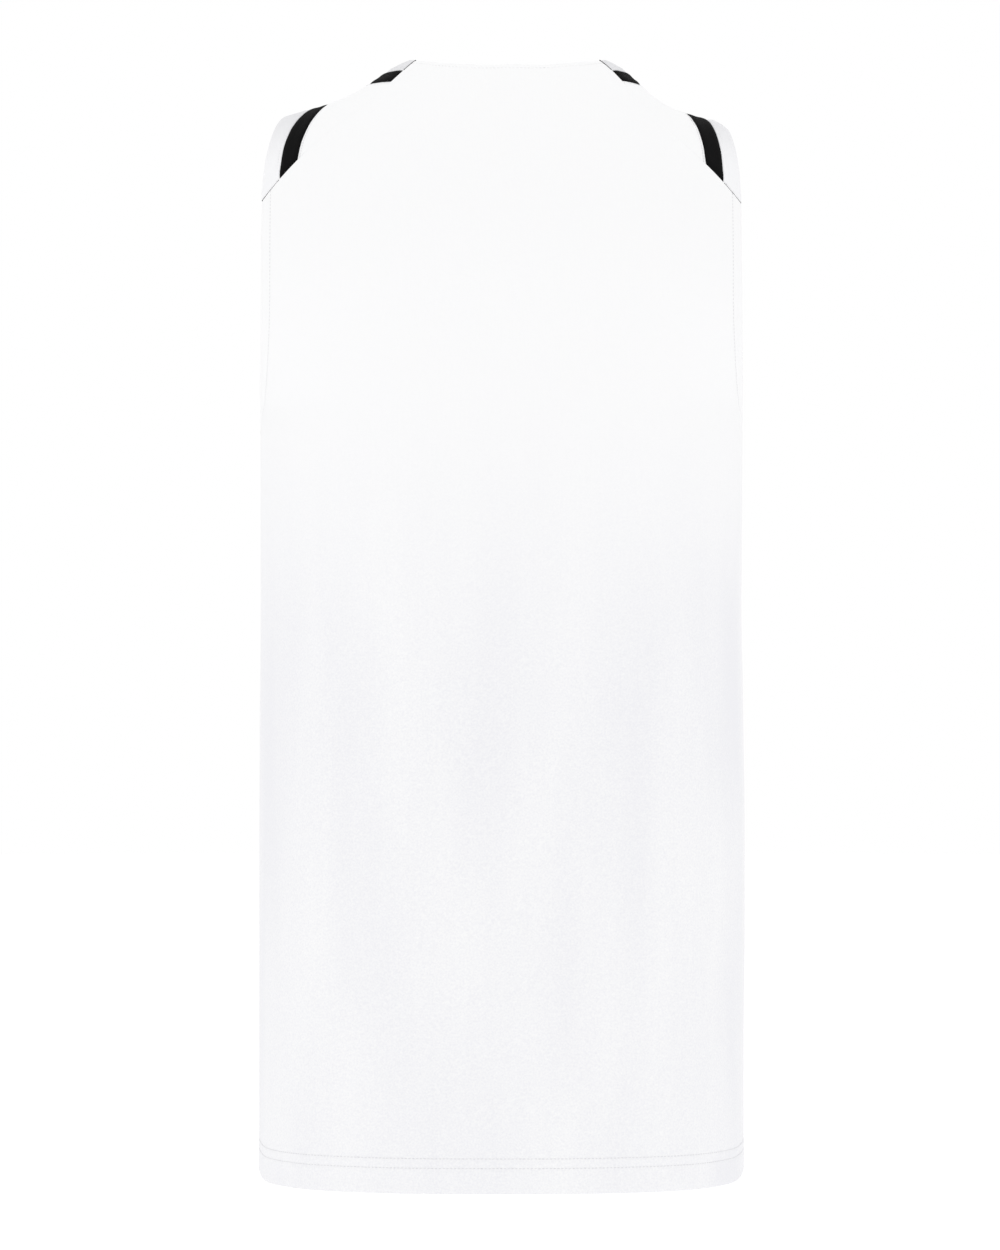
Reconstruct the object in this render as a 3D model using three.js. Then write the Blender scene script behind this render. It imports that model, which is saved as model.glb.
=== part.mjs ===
import * as THREE from "three";

// A white sleeveless basketball jersey, filled out as if worn, with nobody in it.
// Millimetres, +Z up. The front faces -Y, so +X is on the left hand of whoever wears it.
// The origin is midway between the shoulders, level with the neck end of the shoulder line.
//
// Every piece lies on one smooth form. A place on the form has two coordinates:
//   across  from -1 at the right side seam, through 0 at the centre, to 1 at the left side seam
//   over    millimetres from the shoulder ridge, negative down the back and positive down the front

// Sizes of the body
const HALF_WIDTH = 155.5;
const BODY_LENGTH = 721;
const UNDERARM_DROP = 224;
const ROUNDING_DROP = 147;
const RING_POWER = 2.6;
const ROUNDING_POWER = 2.05;
const ARMHOLE_DEPTH_SHARE = 0.56;

// Depth of the body in front of and behind the shoulder ridge
const SECTIONS = [
  { z: -721, back: 127, front: 129 },
  { z: -560, back: 122, front: 129 },
  { z: -420, back: 119, front: 131 },
  { z: -300, back: 124, front: 135 },
  { z: -200, back: 129, front: 135 },
  { z: -147, back: 129, front: 132 },
];

// The shoulder line, from inside the neck opening out past the armhole
const RIDGE = [
  { x: 0, z: 8.5 },
  { x: 36, z: 6.8 },
  { x: 56, z: 3.8 },
  { x: 67, z: 0.6 },
  { x: 76, z: -4.6 },
  { x: 87, z: -13 },
  { x: 97, z: -20.1 },
  { x: 112, z: -27.7 },
  { x: 127, z: -32.5 },
  { x: 140, z: -36.1 },
  { x: 145, z: -39.5 },
  { x: 150, z: -46.5 },
  { x: 158, z: -61.5 },
  { x: 166, z: -81.5 },
  { x: 176, z: -105.5 },
];

// The edges of the two armholes. `down` is 0 at the shoulder ridge, 1 at the underarm in
// front and -1 at the underarm behind. The left one is cut further in over the shoulder.
const ARMHOLES = [
  { down: -1, left: HALF_WIDTH, right: HALF_WIDTH },
  { down: -0.88, left: 153.8, right: 153.8 },
  { down: -0.75, left: 153, right: 153 },
  { down: -0.4, left: 152.6, right: 152.6 },
  { down: -0.3, left: 151.4, right: 152 },
  { down: -0.2, left: 148.4, right: 150.4 },
  { down: -0.1, left: 144.4, right: 148.4 },
  { down: 0, left: 140.6, right: 146.6 },
  { down: 0.2, left: 137, right: 143 },
  { down: 0.4, left: 137.2, right: 141.2 },
  { down: 0.66, left: 140.4, right: 142.4 },
  { down: 0.86, left: 147.5, right: 148 },
  { down: 1, left: HALF_WIDTH, right: HALF_WIDTH },
];

// The neck opening
const NECK_HALF_WIDTH = 62.5;
const NECK_FRONT_DROP = 108;
const NECK_FRONT_POWER = 1.85;
const NECK_BACK_DEPTH = 53.2;
const NECK_BACK_POWER = 2.5;

// The neck is pulled a little to one side, which dies away down the chest and out to the armholes
const NECK_LEAN = -4;
const LEAN_FULL = { x: 62, z: -10 };
const LEAN_GONE = { x: 115, z: -150 };

// The left shoulder is raised by this much and the right one lowered, from `x` outwards
const SHOULDER_TILT = 2;
const TILT_STARTS = 75;
const TILT_FULL = 125;

// The hem rises at the side seams
const HEM_LIFT = 2.6;
const LIFT_ACROSS = 0.74;
const LIFT_Z = -560;

// The shoulder seam slants across the back, from the neck down to the armhole. It sways below
// the straight line near the neck and above it near the armhole.
const SEAM_NECK_X = 61;
const SEAM_NECK_Z = -1.2;
const SEAM_ARM_X = 153;
const SEAM_ARM_Z = -94;
const SEAM_SWAY = 1.3;

// Cloth and trims
const WALL = 1.5;
const HEM_WALL = 2.4;
const HEM_HEIGHT = 23;
const HEM_SLOPE = 3;
const SEAM_GAP = 0.3;
const NECK_BINDING = 17;
const NECK_STRIPE = 13;
const ARM_BINDING = 18;
const ARM_STRIPE = 13;

// Soft upright folds. `at` is millimetres round the body from the centre of the back,
// positive towards +X; `rise` is how far it stands out, and a negative one is a trough.
// One whose bottom is far below the hem runs out through it.
const FOLDS = [
  { at: -178, top: -500, bottom: -700, width: 26, rise: -1.8 },
  { at: -165, top: -240, bottom: -530, width: 38, rise: -3.2 },
  { at: -124, top: -330, bottom: -900, width: 28, rise: 2.2 },
  { at: -84, top: -230, bottom: -620, width: 24, rise: -1.4 },
  { at: -40, top: -200, bottom: -900, width: 26, rise: 1 },
  { at: 12, top: -220, bottom: -560, width: 24, rise: -1.2 },
  { at: 56, top: -260, bottom: -900, width: 26, rise: 1.2 },
  { at: 96, top: -300, bottom: -660, width: 24, rise: -1.5 },
  { at: 132, top: -320, bottom: -900, width: 28, rise: 2 },
  { at: 170, top: -290, bottom: -600, width: 34, rise: -2.6 },
  { at: 262, top: -330, bottom: -900, width: 32, rise: 2.2 },
  { at: 312, top: -230, bottom: -900, width: 34, rise: -3 },
  { at: 360, top: -330, bottom: -900, width: 32, rise: 2.4 },
  { at: 408, top: -260, bottom: -900, width: 28, rise: -2.2 },
  { at: 452, top: -380, bottom: -900, width: 26, rise: 1.4 },
  { at: -264, top: -330, bottom: -900, width: 32, rise: 2 },
  { at: -306, top: -240, bottom: -900, width: 34, rise: -3 },
  { at: -354, top: -350, bottom: -900, width: 30, rise: 2.4 },
  { at: -400, top: -280, bottom: -740, width: 28, rise: -2 },
  { at: -446, top: -330, bottom: -900, width: 30, rise: 1.6 },
];
const FOLD_FADE = 110;

// Fineness of the meshes, and of the curves that they are cut from
const COLUMNS = 14;
const BODY_ROWS = 13;
const STRAP_ROWS = 16;
const CHEST_ROWS = 7;
const YOKE_ROWS = 9;
const NECKLINE_ROWS = 5;
const CURVE_STEPS = 720;
const EDGE_STEPS = 160;
const SEAM_STEPS = 60;
const WALK_STEP = 4;

// A smooth curve through a table's rows, by the column `from`, which may rise or fall
function curveThrough(rows, from, to) {
  const sorted = [...rows].sort((a, b) => a[from] - b[from]);
  const at = sorted.map((row) => row[from]);
  const value = sorted.map((row) => row[to]);
  const last = at.length - 1;
  const chord = at.slice(1).map((x, i) => (value[i + 1] - value[i]) / (x - at[i]));
  const slope = at.map((_, i) => {
    if (i === 0) return chord[0];
    if (i === last) return chord[last - 1];
    const [before, after] = [chord[i - 1], chord[i]];
    return before * after <= 0 ? 0 : (2 * before * after) / (before + after);
  });
  return (x) => {
    if (x <= at[0]) return value[0];
    if (x >= at[last]) return value[last];
    const i = at.findIndex((edge) => edge > x) - 1;
    const span = at[i + 1] - at[i];
    const t = (x - at[i]) / span;
    const bend = t * t * (3 - 2 * t);
    return (
      value[i] * (1 - bend) +
      value[i + 1] * bend +
      span * t * (1 - t) * ((1 - t) * slope[i] - t * slope[i + 1])
    );
  };
}

// One quarter of a rounded oval: `rising` goes from 0 to 1 as `falling` goes from 1 to 0,
// by the share of its length
class QuarterOval {
  constructor(power, risingReach, fallingReach) {
    this.points = [];
    let length = 0;
    for (let i = 0; i <= CURVE_STEPS; i++) {
      const angle = ((Math.PI / 2) * i) / CURVE_STEPS;
      const rising = Math.sin(angle) ** (2 / power);
      const falling = i === CURVE_STEPS ? 0 : Math.cos(angle) ** (2 / power);
      const before = this.points.at(-1);
      if (before) {
        length += Math.hypot(
          (rising - before.rising) * risingReach,
          (falling - before.falling) * fallingReach,
        );
      }
      this.points.push({ share: length, rising, falling });
    }
    this.length = length;
    for (const point of this.points) point.share /= length;
  }

  between(key, wanted, descending = false) {
    const target = THREE.MathUtils.clamp(wanted, 0, 1);
    let [low, high] = [0, this.points.length - 1];
    while (high - low > 1) {
      const middle = (low + high) >> 1;
      if (this.points[middle][key] < target !== descending) low = middle;
      else high = middle;
    }
    const [a, b] = [this.points[low], this.points[high]];
    const t = (target - a[key]) / (b[key] - a[key] || 1);
    const mix = (name) => a[name] + (b[name] - a[name]) * t;
    return { share: mix("share"), rising: mix("rising"), falling: mix("falling") };
  }

  at(share) {
    return this.between("share", share);
  }

  shareWhereRising(rising) {
    return this.between("rising", rising).share;
  }

  shareWhereFalling(falling) {
    return this.between("falling", falling, true).share;
  }
}

const backDepth = curveThrough(SECTIONS, "z", "back");
const frontDepth = curveThrough(SECTIONS, "z", "front");
const ridgeHeight = curveThrough(RIDGE, "x", "z");

const ring = new QuarterOval(RING_POWER, HALF_WIDTH, backDepth(-UNDERARM_DROP));
const rounding = new QuarterOval(ROUNDING_POWER, backDepth(-ROUNDING_DROP), ROUNDING_DROP);
const ROUNDING_LENGTH = rounding.length;
const UNDERARM_OVER = ROUNDING_LENGTH + UNDERARM_DROP - ROUNDING_DROP;
const SIDE_EDGE = 1 - SEAM_GAP / 2 / ring.length;

// Half the width of the form. Above the underarm it swells, so that the armhole's back edge,
// which comes forward round the body, still stands upright.
function halfWidth(z) {
  const climb = THREE.MathUtils.clamp(
    (z + UNDERARM_DROP) / (UNDERARM_DROP - ROUNDING_DROP),
    0,
    1,
  );
  const edgeDepth = ARMHOLE_DEPTH_SHARE * Math.sqrt(1 - (1 - climb) ** 2);
  return HALF_WIDTH / (1 - edgeDepth ** RING_POWER) ** (1 / RING_POWER);
}
const SHOULDER_HALF_WIDTH = halfWidth(0);

function heightAt(across, over) {
  const down = Math.abs(over);
  if (down >= ROUNDING_LENGTH) return -ROUNDING_DROP - (down - ROUNDING_LENGTH);
  const ridge = ridgeHeight(SHOULDER_HALF_WIDTH * ring.at(Math.abs(across)).rising);
  return (ridge + ROUNDING_DROP) * rounding.at(down / ROUNDING_LENGTH).falling - ROUNDING_DROP;
}

// A point of the form before any fold
function smoothPoint({ across, over }) {
  const section = ring.at(Math.abs(across));
  const z = heightAt(across, over);
  const turned = rounding.at(Math.abs(over) / ROUNDING_LENGTH).rising;
  const depth = over < 0 ? backDepth(z) : -frontDepth(z);
  return new THREE.Vector3(
    Math.sign(across) * halfWidth(z) * section.rising,
    depth * section.falling * turned,
    z,
  );
}

// The directions of a step across and a step over, by small differences
function slopesAt({ across, over }) {
  const small = { across: 0.002, over: 0.5 };
  const low = Math.max(-1, across - small.across);
  const high = Math.min(1, across + small.across);
  const sideways = smoothPoint({ across: high, over })
    .sub(smoothPoint({ across: low, over }))
    .divideScalar(high - low);
  const lengthways = smoothPoint({ across, over: over + small.over })
    .sub(smoothPoint({ across, over: over - small.over }))
    .divideScalar(2 * small.over);
  return { sideways, lengthways };
}

function outwardAt(place) {
  const { sideways, lengthways } = slopesAt(place);
  return new THREE.Vector3().crossVectors(lengthways, sideways).normalize();
}

// How far the folds lift the cloth off the smooth form
function foldHeight({ across, over }) {
  const z = heightAt(across, over);
  const round = 4 * ring.length;
  const fromBack = over < 0 ? across : (across < 0 ? -2 : 2) - across;
  const at = fromBack * ring.length;
  let height = 0;
  for (const fold of FOLDS) {
    const apart = Math.abs(at - fold.at);
    const away = Math.min(apart, round - apart) / fold.width;
    const starts = THREE.MathUtils.smoothstep(fold.top - z, 0, FOLD_FADE);
    const ends = THREE.MathUtils.smoothstep(z - fold.bottom, 0, FOLD_FADE);
    height += fold.rise * Math.exp(-away * away) * starts * ends;
  }
  return height;
}

// The cloth hangs in its folds, with the neck pulled a little to one side, one shoulder
// higher than the other, and the hem drawn up at the side seams
function clothPoint(place) {
  const { smoothstep } = THREE.MathUtils;
  const point = smoothPoint(place).addScaledVector(outwardAt(place), foldHeight(place));
  const outwards = smoothstep(Math.abs(point.x), LEAN_FULL.x, LEAN_GONE.x);
  const upwards = smoothstep(point.z, LEAN_GONE.z, LEAN_FULL.z);
  const tilt = smoothstep(Math.abs(point.x), TILT_STARTS, TILT_FULL) * upwards;
  point.z += SHOULDER_TILT * Math.sign(point.x) * tilt;
  point.x += NECK_LEAN * (1 - outwards) * upwards;
  const sidewards = smoothstep(Math.abs(place.across), LIFT_ACROSS, 1);
  point.z += HEM_LIFT * sidewards * smoothstep(-point.z, -LIFT_Z, BODY_LENGTH);
  return point;
}

// Steps from one place over the form, `distance` along a direction in space
function walk(place, direction, distance) {
  const steps = Math.max(1, Math.ceil(distance / WALK_STEP));
  const heading = direction.clone();
  let here = { ...place };
  for (let i = 0; i < steps; i++) {
    const outward = outwardAt(here);
    heading.addScaledVector(outward, -heading.dot(outward)).normalize();
    const { sideways, lengthways } = slopesAt(here);
    const [ss, sl, ll] = [
      sideways.dot(sideways),
      sideways.dot(lengthways),
      lengthways.dot(lengthways),
    ];
    const [hs, hl] = [sideways.dot(heading), lengthways.dot(heading)];
    const scale = distance / steps / (ss * ll - sl * sl);
    here = {
      across: here.across + (hs * ll - hl * sl) * scale,
      over: here.over + (hl * ss - hs * sl) * scale,
    };
  }
  return here;
}

// Places on the form from what a front, back or top view shows
function placeFromHeight(x, z, side) {
  const across = ring.shareWhereRising(x / halfWidth(z));
  if (z <= -ROUNDING_DROP) {
    return { across, over: side * (ROUNDING_LENGTH - ROUNDING_DROP - z) };
  }
  const high = (z + ROUNDING_DROP) / (ridgeHeight(x) + ROUNDING_DROP);
  return { across, over: side * ROUNDING_LENGTH * rounding.shareWhereFalling(high) };
}

function placeFromAbove(x, y) {
  const across = ring.shareWhereRising(x / SHOULDER_HALF_WIDTH);
  const depth = y >= 0 ? backDepth(0) : frontDepth(0);
  const turned = Math.abs(y) / depth / ring.at(across).falling;
  return { across, over: -Math.sign(y) * ROUNDING_LENGTH * rounding.shareWhereRising(turned) };
}

// The neck's edge on the +X side, from the centre of the front round to the centre of the back
function neckEdge() {
  const places = [];
  for (let i = 0; i < EDGE_STEPS; i++) {
    const angle = ((Math.PI / 2) * i) / EDGE_STEPS;
    const x = NECK_HALF_WIDTH * Math.sin(angle) ** (2 / NECK_FRONT_POWER);
    const fall = NECK_FRONT_DROP * Math.cos(angle) ** (2 / NECK_FRONT_POWER);
    places.push(placeFromHeight(x, ridgeHeight(NECK_HALF_WIDTH) - fall, 1));
  }
  for (let i = 0; i <= EDGE_STEPS; i++) {
    const angle = ((Math.PI / 2) * i) / EDGE_STEPS;
    const x = NECK_HALF_WIDTH * Math.max(Math.cos(angle), 0) ** (2 / NECK_BACK_POWER);
    const y = NECK_BACK_DEPTH * Math.sin(angle) ** (2 / NECK_BACK_POWER);
    places.push(placeFromAbove(x, y));
  }
  return places;
}

// An armhole's edge, on the +X side, from the underarm up the front and down the back
function armholeEdge(column) {
  const armholeX = curveThrough(ARMHOLES, "down", column);
  const places = [];
  for (let i = 0; i <= 2 * EDGE_STEPS; i++) {
    const down = Math.cos((Math.PI * i) / (2 * EDGE_STEPS));
    const over = UNDERARM_OVER * down;
    const z = -ROUNDING_DROP - Math.max(0, Math.abs(over) - ROUNDING_LENGTH);
    const across = ring.shareWhereRising(armholeX(down) / halfWidth(z));
    places.push({ across: Math.min(across, SIDE_EDGE), over });
  }
  return places;
}

const seamSway = (x) => {
  const t = THREE.MathUtils.clamp((x - SEAM_NECK_X) / (SEAM_ARM_X - SEAM_NECK_X), 0, 1);
  return SEAM_SWAY * Math.sin(2 * Math.PI * t);
};

// Height above the slanting shoulder seam, measured square to it; negative on the back panel
function aboveSeam(place) {
  const point = smoothPoint(place);
  if (place.over > 0) return UNDERARM_DROP;
  const [runX, runZ] = [SEAM_ARM_X - SEAM_NECK_X, SEAM_ARM_Z - SEAM_NECK_Z];
  const [offX, offZ] = [Math.abs(point.x) - SEAM_NECK_X, point.z - SEAM_NECK_Z];
  return (runX * offZ - runZ * offX) / Math.hypot(runX, runZ) + seamSway(Math.abs(point.x));
}

const mixPlaces = (a, b, t) => ({
  across: a.across + (b.across - a.across) * t,
  over: a.over + (b.over - a.over) * t,
});

// An opening's edge moved over the form, away from the opening
function movedAway({ edge, clothOnRight }, distance) {
  if (distance === 0) return edge;
  return edge.map((place, i) => {
    const before = smoothPoint(edge[Math.max(0, i - 1)]);
    const after = smoothPoint(edge[Math.min(edge.length - 1, i + 1)]);
    const along = after.sub(before).normalize();
    const away = new THREE.Vector3().crossVectors(along, outwardAt(place));
    return walk(place, clothOnRight ? away : away.negate(), distance);
  });
}

// Keeps the part of a line on one side of the shoulder seam, ending `margin` from it
function trimmedAtSeam(places, keepAbove, margin = SEAM_GAP / 2) {
  const clear = (place) => (keepAbove ? 1 : -1) * aboveSeam(place) - margin;
  const kept = [];
  places.forEach((place, i) => {
    const inside = clear(place) >= 0;
    if (i > 0 && inside !== clear(places[i - 1]) >= 0) {
      let [near, far] = inside ? [place, places[i - 1]] : [places[i - 1], place];
      for (let halving = 0; halving < 20; halving++) {
        const middle = mixPlaces(near, far, 0.5);
        if (clear(middle) >= 0) near = middle;
        else far = middle;
      }
      kept.push(near);
    }
    if (inside) kept.push(place);
  });
  return kept;
}

// The same line cut into `count` equal steps
function evenly(places, count) {
  const points = places.map(smoothPoint);
  const reach = [0];
  for (let i = 1; i < points.length; i++) {
    reach.push(reach[i - 1] + points[i].distanceTo(points[i - 1]));
  }
  return Array.from({ length: count + 1 }, (_, k) => {
    const wanted = (reach.at(-1) * k) / count;
    const i = Math.max(1, reach.findIndex((value) => value >= wanted - 1e-9));
    const t = (wanted - reach[i - 1]) / (reach[i] - reach[i - 1] || 1);
    return mixPlaces(places[i - 1], places[i], t);
  });
}

// A line round an opening, `distance` from its edge, as far as the shoulder seam. Where two
// pieces join there, `shift` moves it half a gap: -1 for the piece nearer the opening, 1 for
// the other.
function lineAround(opening, distance, stations, shift) {
  const edge = evenly(trimmedAtSeam(movedAway(opening, distance), true, -1), stations);
  return trimmedAtSeam(movedAway({ ...opening, edge }, (shift * SEAM_GAP) / 2), true);
}

const mirrored = ({ across, over }) => ({ across: -across, over });
const centrePlace = (z, side) => ({ ...placeFromHeight(0, z, side), across: 0 });
const sidePlace = (z, side) => ({
  across: SIDE_EDGE,
  over: side * (ROUNDING_LENGTH - ROUNDING_DROP - z),
});

// The shoulder seam between two places on it, half a gap to one side
function seamLine(from, to, keepAbove) {
  const slope = (SEAM_ARM_Z - SEAM_NECK_Z) / (SEAM_ARM_X - SEAM_NECK_X);
  const shift = (keepAbove ? 0.5 : -0.5) * SEAM_GAP;
  const [startX, endX] = [smoothPoint(from).x, smoothPoint(to).x];
  const places = Array.from({ length: SEAM_STEPS + 1 }, (_, i) => {
    const x = startX + ((endX - startX) * i) / SEAM_STEPS;
    const lift = (shift - seamSway(x)) * Math.hypot(1, slope);
    return placeFromHeight(x, SEAM_NECK_Z + slope * (x - SEAM_NECK_X) + lift, -1);
  });
  return [from, ...evenly(places, COLUMNS).slice(1, -1), to];
}

// Rows of places between an inner and an outer line, from the hem up to the shoulder seam
function rowsBetween(inner, outer, keepAbove, bendRows) {
  const last = inner.length - 1;
  const top = seamLine(inner[last], outer[last], keepAbove);
  return inner.map((from, r) => {
    const bend = THREE.MathUtils.smoothstep(r, last - bendRows, last);
    return top.map((seam, c) => {
      const t = c / COLUMNS;
      const here = mixPlaces(from, outer[r], t);
      const straight = mixPlaces(inner[last], outer[last], t);
      return {
        across: here.across + (seam.across - straight.across) * bend,
        over: here.over + (seam.over - straight.over) * bend,
      };
    });
  });
}

// A cloth sheet: places on the form joined by triangles, with shared places merged
class Sheet {
  constructor() {
    this.places = [];
    this.triangles = [];
    this.known = new Map();
  }

  add(place) {
    const key = `${place.across.toFixed(6)},${place.over.toFixed(3)}`;
    if (!this.known.has(key)) {
      this.known.set(key, this.places.length);
      this.places.push(place);
    }
    return this.known.get(key);
  }

  addGrid(rows) {
    const ids = rows.map((row) => row.map((place) => this.add(place)));
    for (let r = 1; r < rows.length; r++) {
      for (let c = 1; c < rows[r].length; c++) {
        const [a, b] = [ids[r - 1][c - 1], ids[r - 1][c]];
        const [d, e] = [ids[r][c - 1], ids[r][c]];
        for (const corners of [[a, b, e], [a, e, d]]) {
          if (new Set(corners).size === 3) this.triangles.push(corners);
        }
      }
    }
  }

  addOnSide(rows, side) {
    this.addGrid(side > 0 ? rows : rows.map((row) => row.map(mirrored)));
  }

  // A closed wall on both sides of the sheet, thicker where the hem is turned up inside
  wall() {
    const count = this.places.length;
    const position = new Float32Array(count * 6);
    this.places.forEach((place, i) => {
      const point = clothPoint(place);
      const outward = outwardAt(place);
      const outer = point.clone().addScaledVector(outward, WALL / 2);
      const thickness = point.z < HEM_HEIGHT - BODY_LENGTH ? HEM_WALL : WALL;
      const inner = outer.clone().addScaledVector(outward, -thickness);
      outer.toArray(position, i * 3);
      inner.toArray(position, (i + count) * 3);
    });
    const corner = (id) => new THREE.Vector3().fromArray(position, id * 3);
    const faces = this.triangles.map(([a, b, c]) => {
      const facing = new THREE.Vector3().crossVectors(
        corner(b).sub(corner(a)),
        corner(c).sub(corner(a)),
      );
      return facing.dot(outwardAt(this.places[a])) < 0 ? [a, c, b] : [a, b, c];
    });
    const edges = new Set(faces.flatMap(([a, b, c]) => [`${a},${b}`, `${b},${c}`, `${c},${a}`]));
    const index = [];
    for (const [a, b, c] of faces) {
      index.push(a, b, c, a + count, c + count, b + count);
      for (const [from, to] of [[a, b], [b, c], [c, a]]) {
        if (edges.has(`${to},${from}`)) continue;
        index.push(to, from, from + count, to, from + count, to + count);
      }
    }
    const geometry = new THREE.BufferGeometry();
    geometry.setAttribute("position", new THREE.BufferAttribute(position, 3));
    geometry.setIndex(index);
    geometry.computeVertexNormals();
    return geometry;
  }
}

// Level heights from the hem up, with a row on each side of the step at the top of the hem
function bodyHeights(topZ) {
  const hemTop = HEM_HEIGHT - BODY_LENGTH;
  const heights = [-BODY_LENGTH, hemTop - HEM_SLOPE / 2, hemTop + HEM_SLOPE / 2];
  for (let i = 1; i <= BODY_ROWS; i++) heights.push(hemTop + ((topZ - hemTop) * i) / BODY_ROWS);
  return heights;
}

const neck = { edge: neckEdge(), clothOnRight: true };
const armholes = [
  { name: "left", side: 1, opening: { edge: armholeEdge("left"), clothOnRight: false } },
  { name: "right", side: -1, opening: { edge: armholeEdge("right"), clothOnRight: false } },
];

function backPanel() {
  const heights = bodyHeights(-UNDERARM_DROP);
  const fromCentre = evenly(trimmedAtSeam(neck.edge, false), NECKLINE_ROWS).reverse();
  const neckZ = smoothPoint(fromCentre[0]).z;
  const inner = heights.map((z) => centrePlace(z, -1));
  for (let i = 1; i < YOKE_ROWS; i++) {
    inner.push(centrePlace(-UNDERARM_DROP + ((neckZ + UNDERARM_DROP) * i) / YOKE_ROWS, -1));
  }
  inner.push(...fromCentre.map((place, i) => (i ? place : { ...place, across: 0 })));
  const sheet = new Sheet();
  for (const { side, opening } of armholes) {
    const armEdge = trimmedAtSeam(opening.edge, false);
    const edge = evenly(armEdge, YOKE_ROWS + NECKLINE_ROWS).reverse();
    edge[0] = sidePlace(-UNDERARM_DROP, -1);
    const outer = [...heights.slice(0, -1).map((z) => sidePlace(z, -1)), ...edge];
    sheet.addOnSide(rowsBetween(inner, outer, false, YOKE_ROWS + NECKLINE_ROWS), side);
  }
  return sheet;
}

function frontPanel() {
  const neckLine = lineAround(neck, NECK_BINDING + NECK_STRIPE, STRAP_ROWS, 1);
  const armLines = armholes.map(({ opening }) =>
    lineAround(opening, ARM_BINDING + ARM_STRIPE, CHEST_ROWS + STRAP_ROWS, 1),
  );
  neckLine[0].across = 0;
  const armZ = smoothPoint(armLines[0][0]).z;
  const neckZ = smoothPoint(neckLine[0]).z;
  const heights = bodyHeights(armZ);
  const inner = heights.map((z) => centrePlace(z, 1));
  for (let i = 1; i < CHEST_ROWS; i++) {
    inner.push(centrePlace(armZ + ((neckZ - armZ) * i) / CHEST_ROWS, 1));
  }
  inner.push(...neckLine);
  const sheet = new Sheet();
  armLines.forEach((armLine, i) => {
    armLine[0].across = SIDE_EDGE;
    const outer = [...heights.slice(0, -1).map((z) => sidePlace(z, 1)), ...armLine];
    sheet.addOnSide(rowsBetween(inner, outer, true, STRAP_ROWS), armholes[i].side);
  });
  return sheet;
}

// A strip of trim between two distances from an opening's edge, ending at the shoulder seam
function trimRows(opening, from, to, stations, startAcross) {
  const rows = [
    lineAround(opening, from, stations, from > 0 ? 1 : 0),
    lineAround(opening, (from + to) / 2, stations, 0),
    lineAround(opening, to, stations, -1),
  ];
  for (const row of rows) row[0].across = startAcross;
  return rows;
}

function neckTrim(from, to) {
  const rows = trimRows(neck, from, to, STRAP_ROWS, 0);
  const sheet = new Sheet();
  sheet.addOnSide(rows, 1);
  sheet.addOnSide(rows, -1);
  return sheet;
}

function armholeTrim(from, to, { side, opening }) {
  const sheet = new Sheet();
  sheet.addOnSide(trimRows(opening, from, to, CHEST_ROWS + STRAP_ROWS, SIDE_EDGE), side);
  return sheet;
}

const whiteKnit = new THREE.MeshStandardMaterial({ color: 0xf6f6f7, roughness: 0.82, metalness: 0 });
const blackKnit = new THREE.MeshStandardMaterial({ color: 0x131314, roughness: 0.78, metalness: 0 });

const jersey = new THREE.Group();

function addPiece(name, sheet, material) {
  const piece = new THREE.Mesh(sheet.wall(), material);
  piece.name = name;
  jersey.add(piece);
}

addPiece("back_panel", backPanel(), whiteKnit);
addPiece("front_panel", frontPanel(), whiteKnit);
addPiece("neck_binding", neckTrim(0, NECK_BINDING), whiteKnit);
addPiece("neck_stripe", neckTrim(NECK_BINDING, NECK_BINDING + NECK_STRIPE), blackKnit);

for (const armhole of armholes) {
  const binding = armholeTrim(0, ARM_BINDING, armhole);
  const stripe = armholeTrim(ARM_BINDING, ARM_BINDING + ARM_STRIPE, armhole);
  addPiece(`armhole_binding_${armhole.name}`, binding, whiteKnit);
  addPiece(`armhole_stripe_${armhole.name}`, stripe, blackKnit);
}

export default jersey;
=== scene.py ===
import logging
import math
from dataclasses import dataclass
from enum import Enum
from typing import Callable, Sequence

import bpy
import numpy as np
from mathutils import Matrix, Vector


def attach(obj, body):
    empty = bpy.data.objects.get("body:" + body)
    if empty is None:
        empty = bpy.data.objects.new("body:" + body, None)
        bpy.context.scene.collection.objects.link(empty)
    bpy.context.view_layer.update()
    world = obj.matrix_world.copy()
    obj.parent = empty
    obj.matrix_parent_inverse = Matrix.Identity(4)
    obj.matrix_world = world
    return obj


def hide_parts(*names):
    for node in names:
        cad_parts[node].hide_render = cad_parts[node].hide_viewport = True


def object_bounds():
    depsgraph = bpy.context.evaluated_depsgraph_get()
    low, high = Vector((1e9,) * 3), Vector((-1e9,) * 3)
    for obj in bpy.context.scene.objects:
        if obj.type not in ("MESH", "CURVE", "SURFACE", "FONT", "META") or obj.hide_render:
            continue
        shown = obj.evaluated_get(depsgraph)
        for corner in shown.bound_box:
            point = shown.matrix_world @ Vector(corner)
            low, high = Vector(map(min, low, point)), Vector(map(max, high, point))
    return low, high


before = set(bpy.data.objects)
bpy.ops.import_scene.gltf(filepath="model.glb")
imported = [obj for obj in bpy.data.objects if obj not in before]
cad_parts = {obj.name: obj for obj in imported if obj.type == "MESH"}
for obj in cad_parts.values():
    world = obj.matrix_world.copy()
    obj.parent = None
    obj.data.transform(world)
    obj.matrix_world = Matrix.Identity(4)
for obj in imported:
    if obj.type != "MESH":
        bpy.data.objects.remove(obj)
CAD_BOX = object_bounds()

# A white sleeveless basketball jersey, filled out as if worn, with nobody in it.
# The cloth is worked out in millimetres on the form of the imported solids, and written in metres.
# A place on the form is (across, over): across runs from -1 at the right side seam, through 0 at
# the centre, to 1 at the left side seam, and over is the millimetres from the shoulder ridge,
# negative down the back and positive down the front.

MM = 0.001
FAR = 99.0
log = logging.getLogger("jersey")

Grid = np.ndarray


class Slot(Enum):
    """The jersey's material slots."""

    WHITE = "white_knit"
    BLACK = "black_knit"


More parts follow.
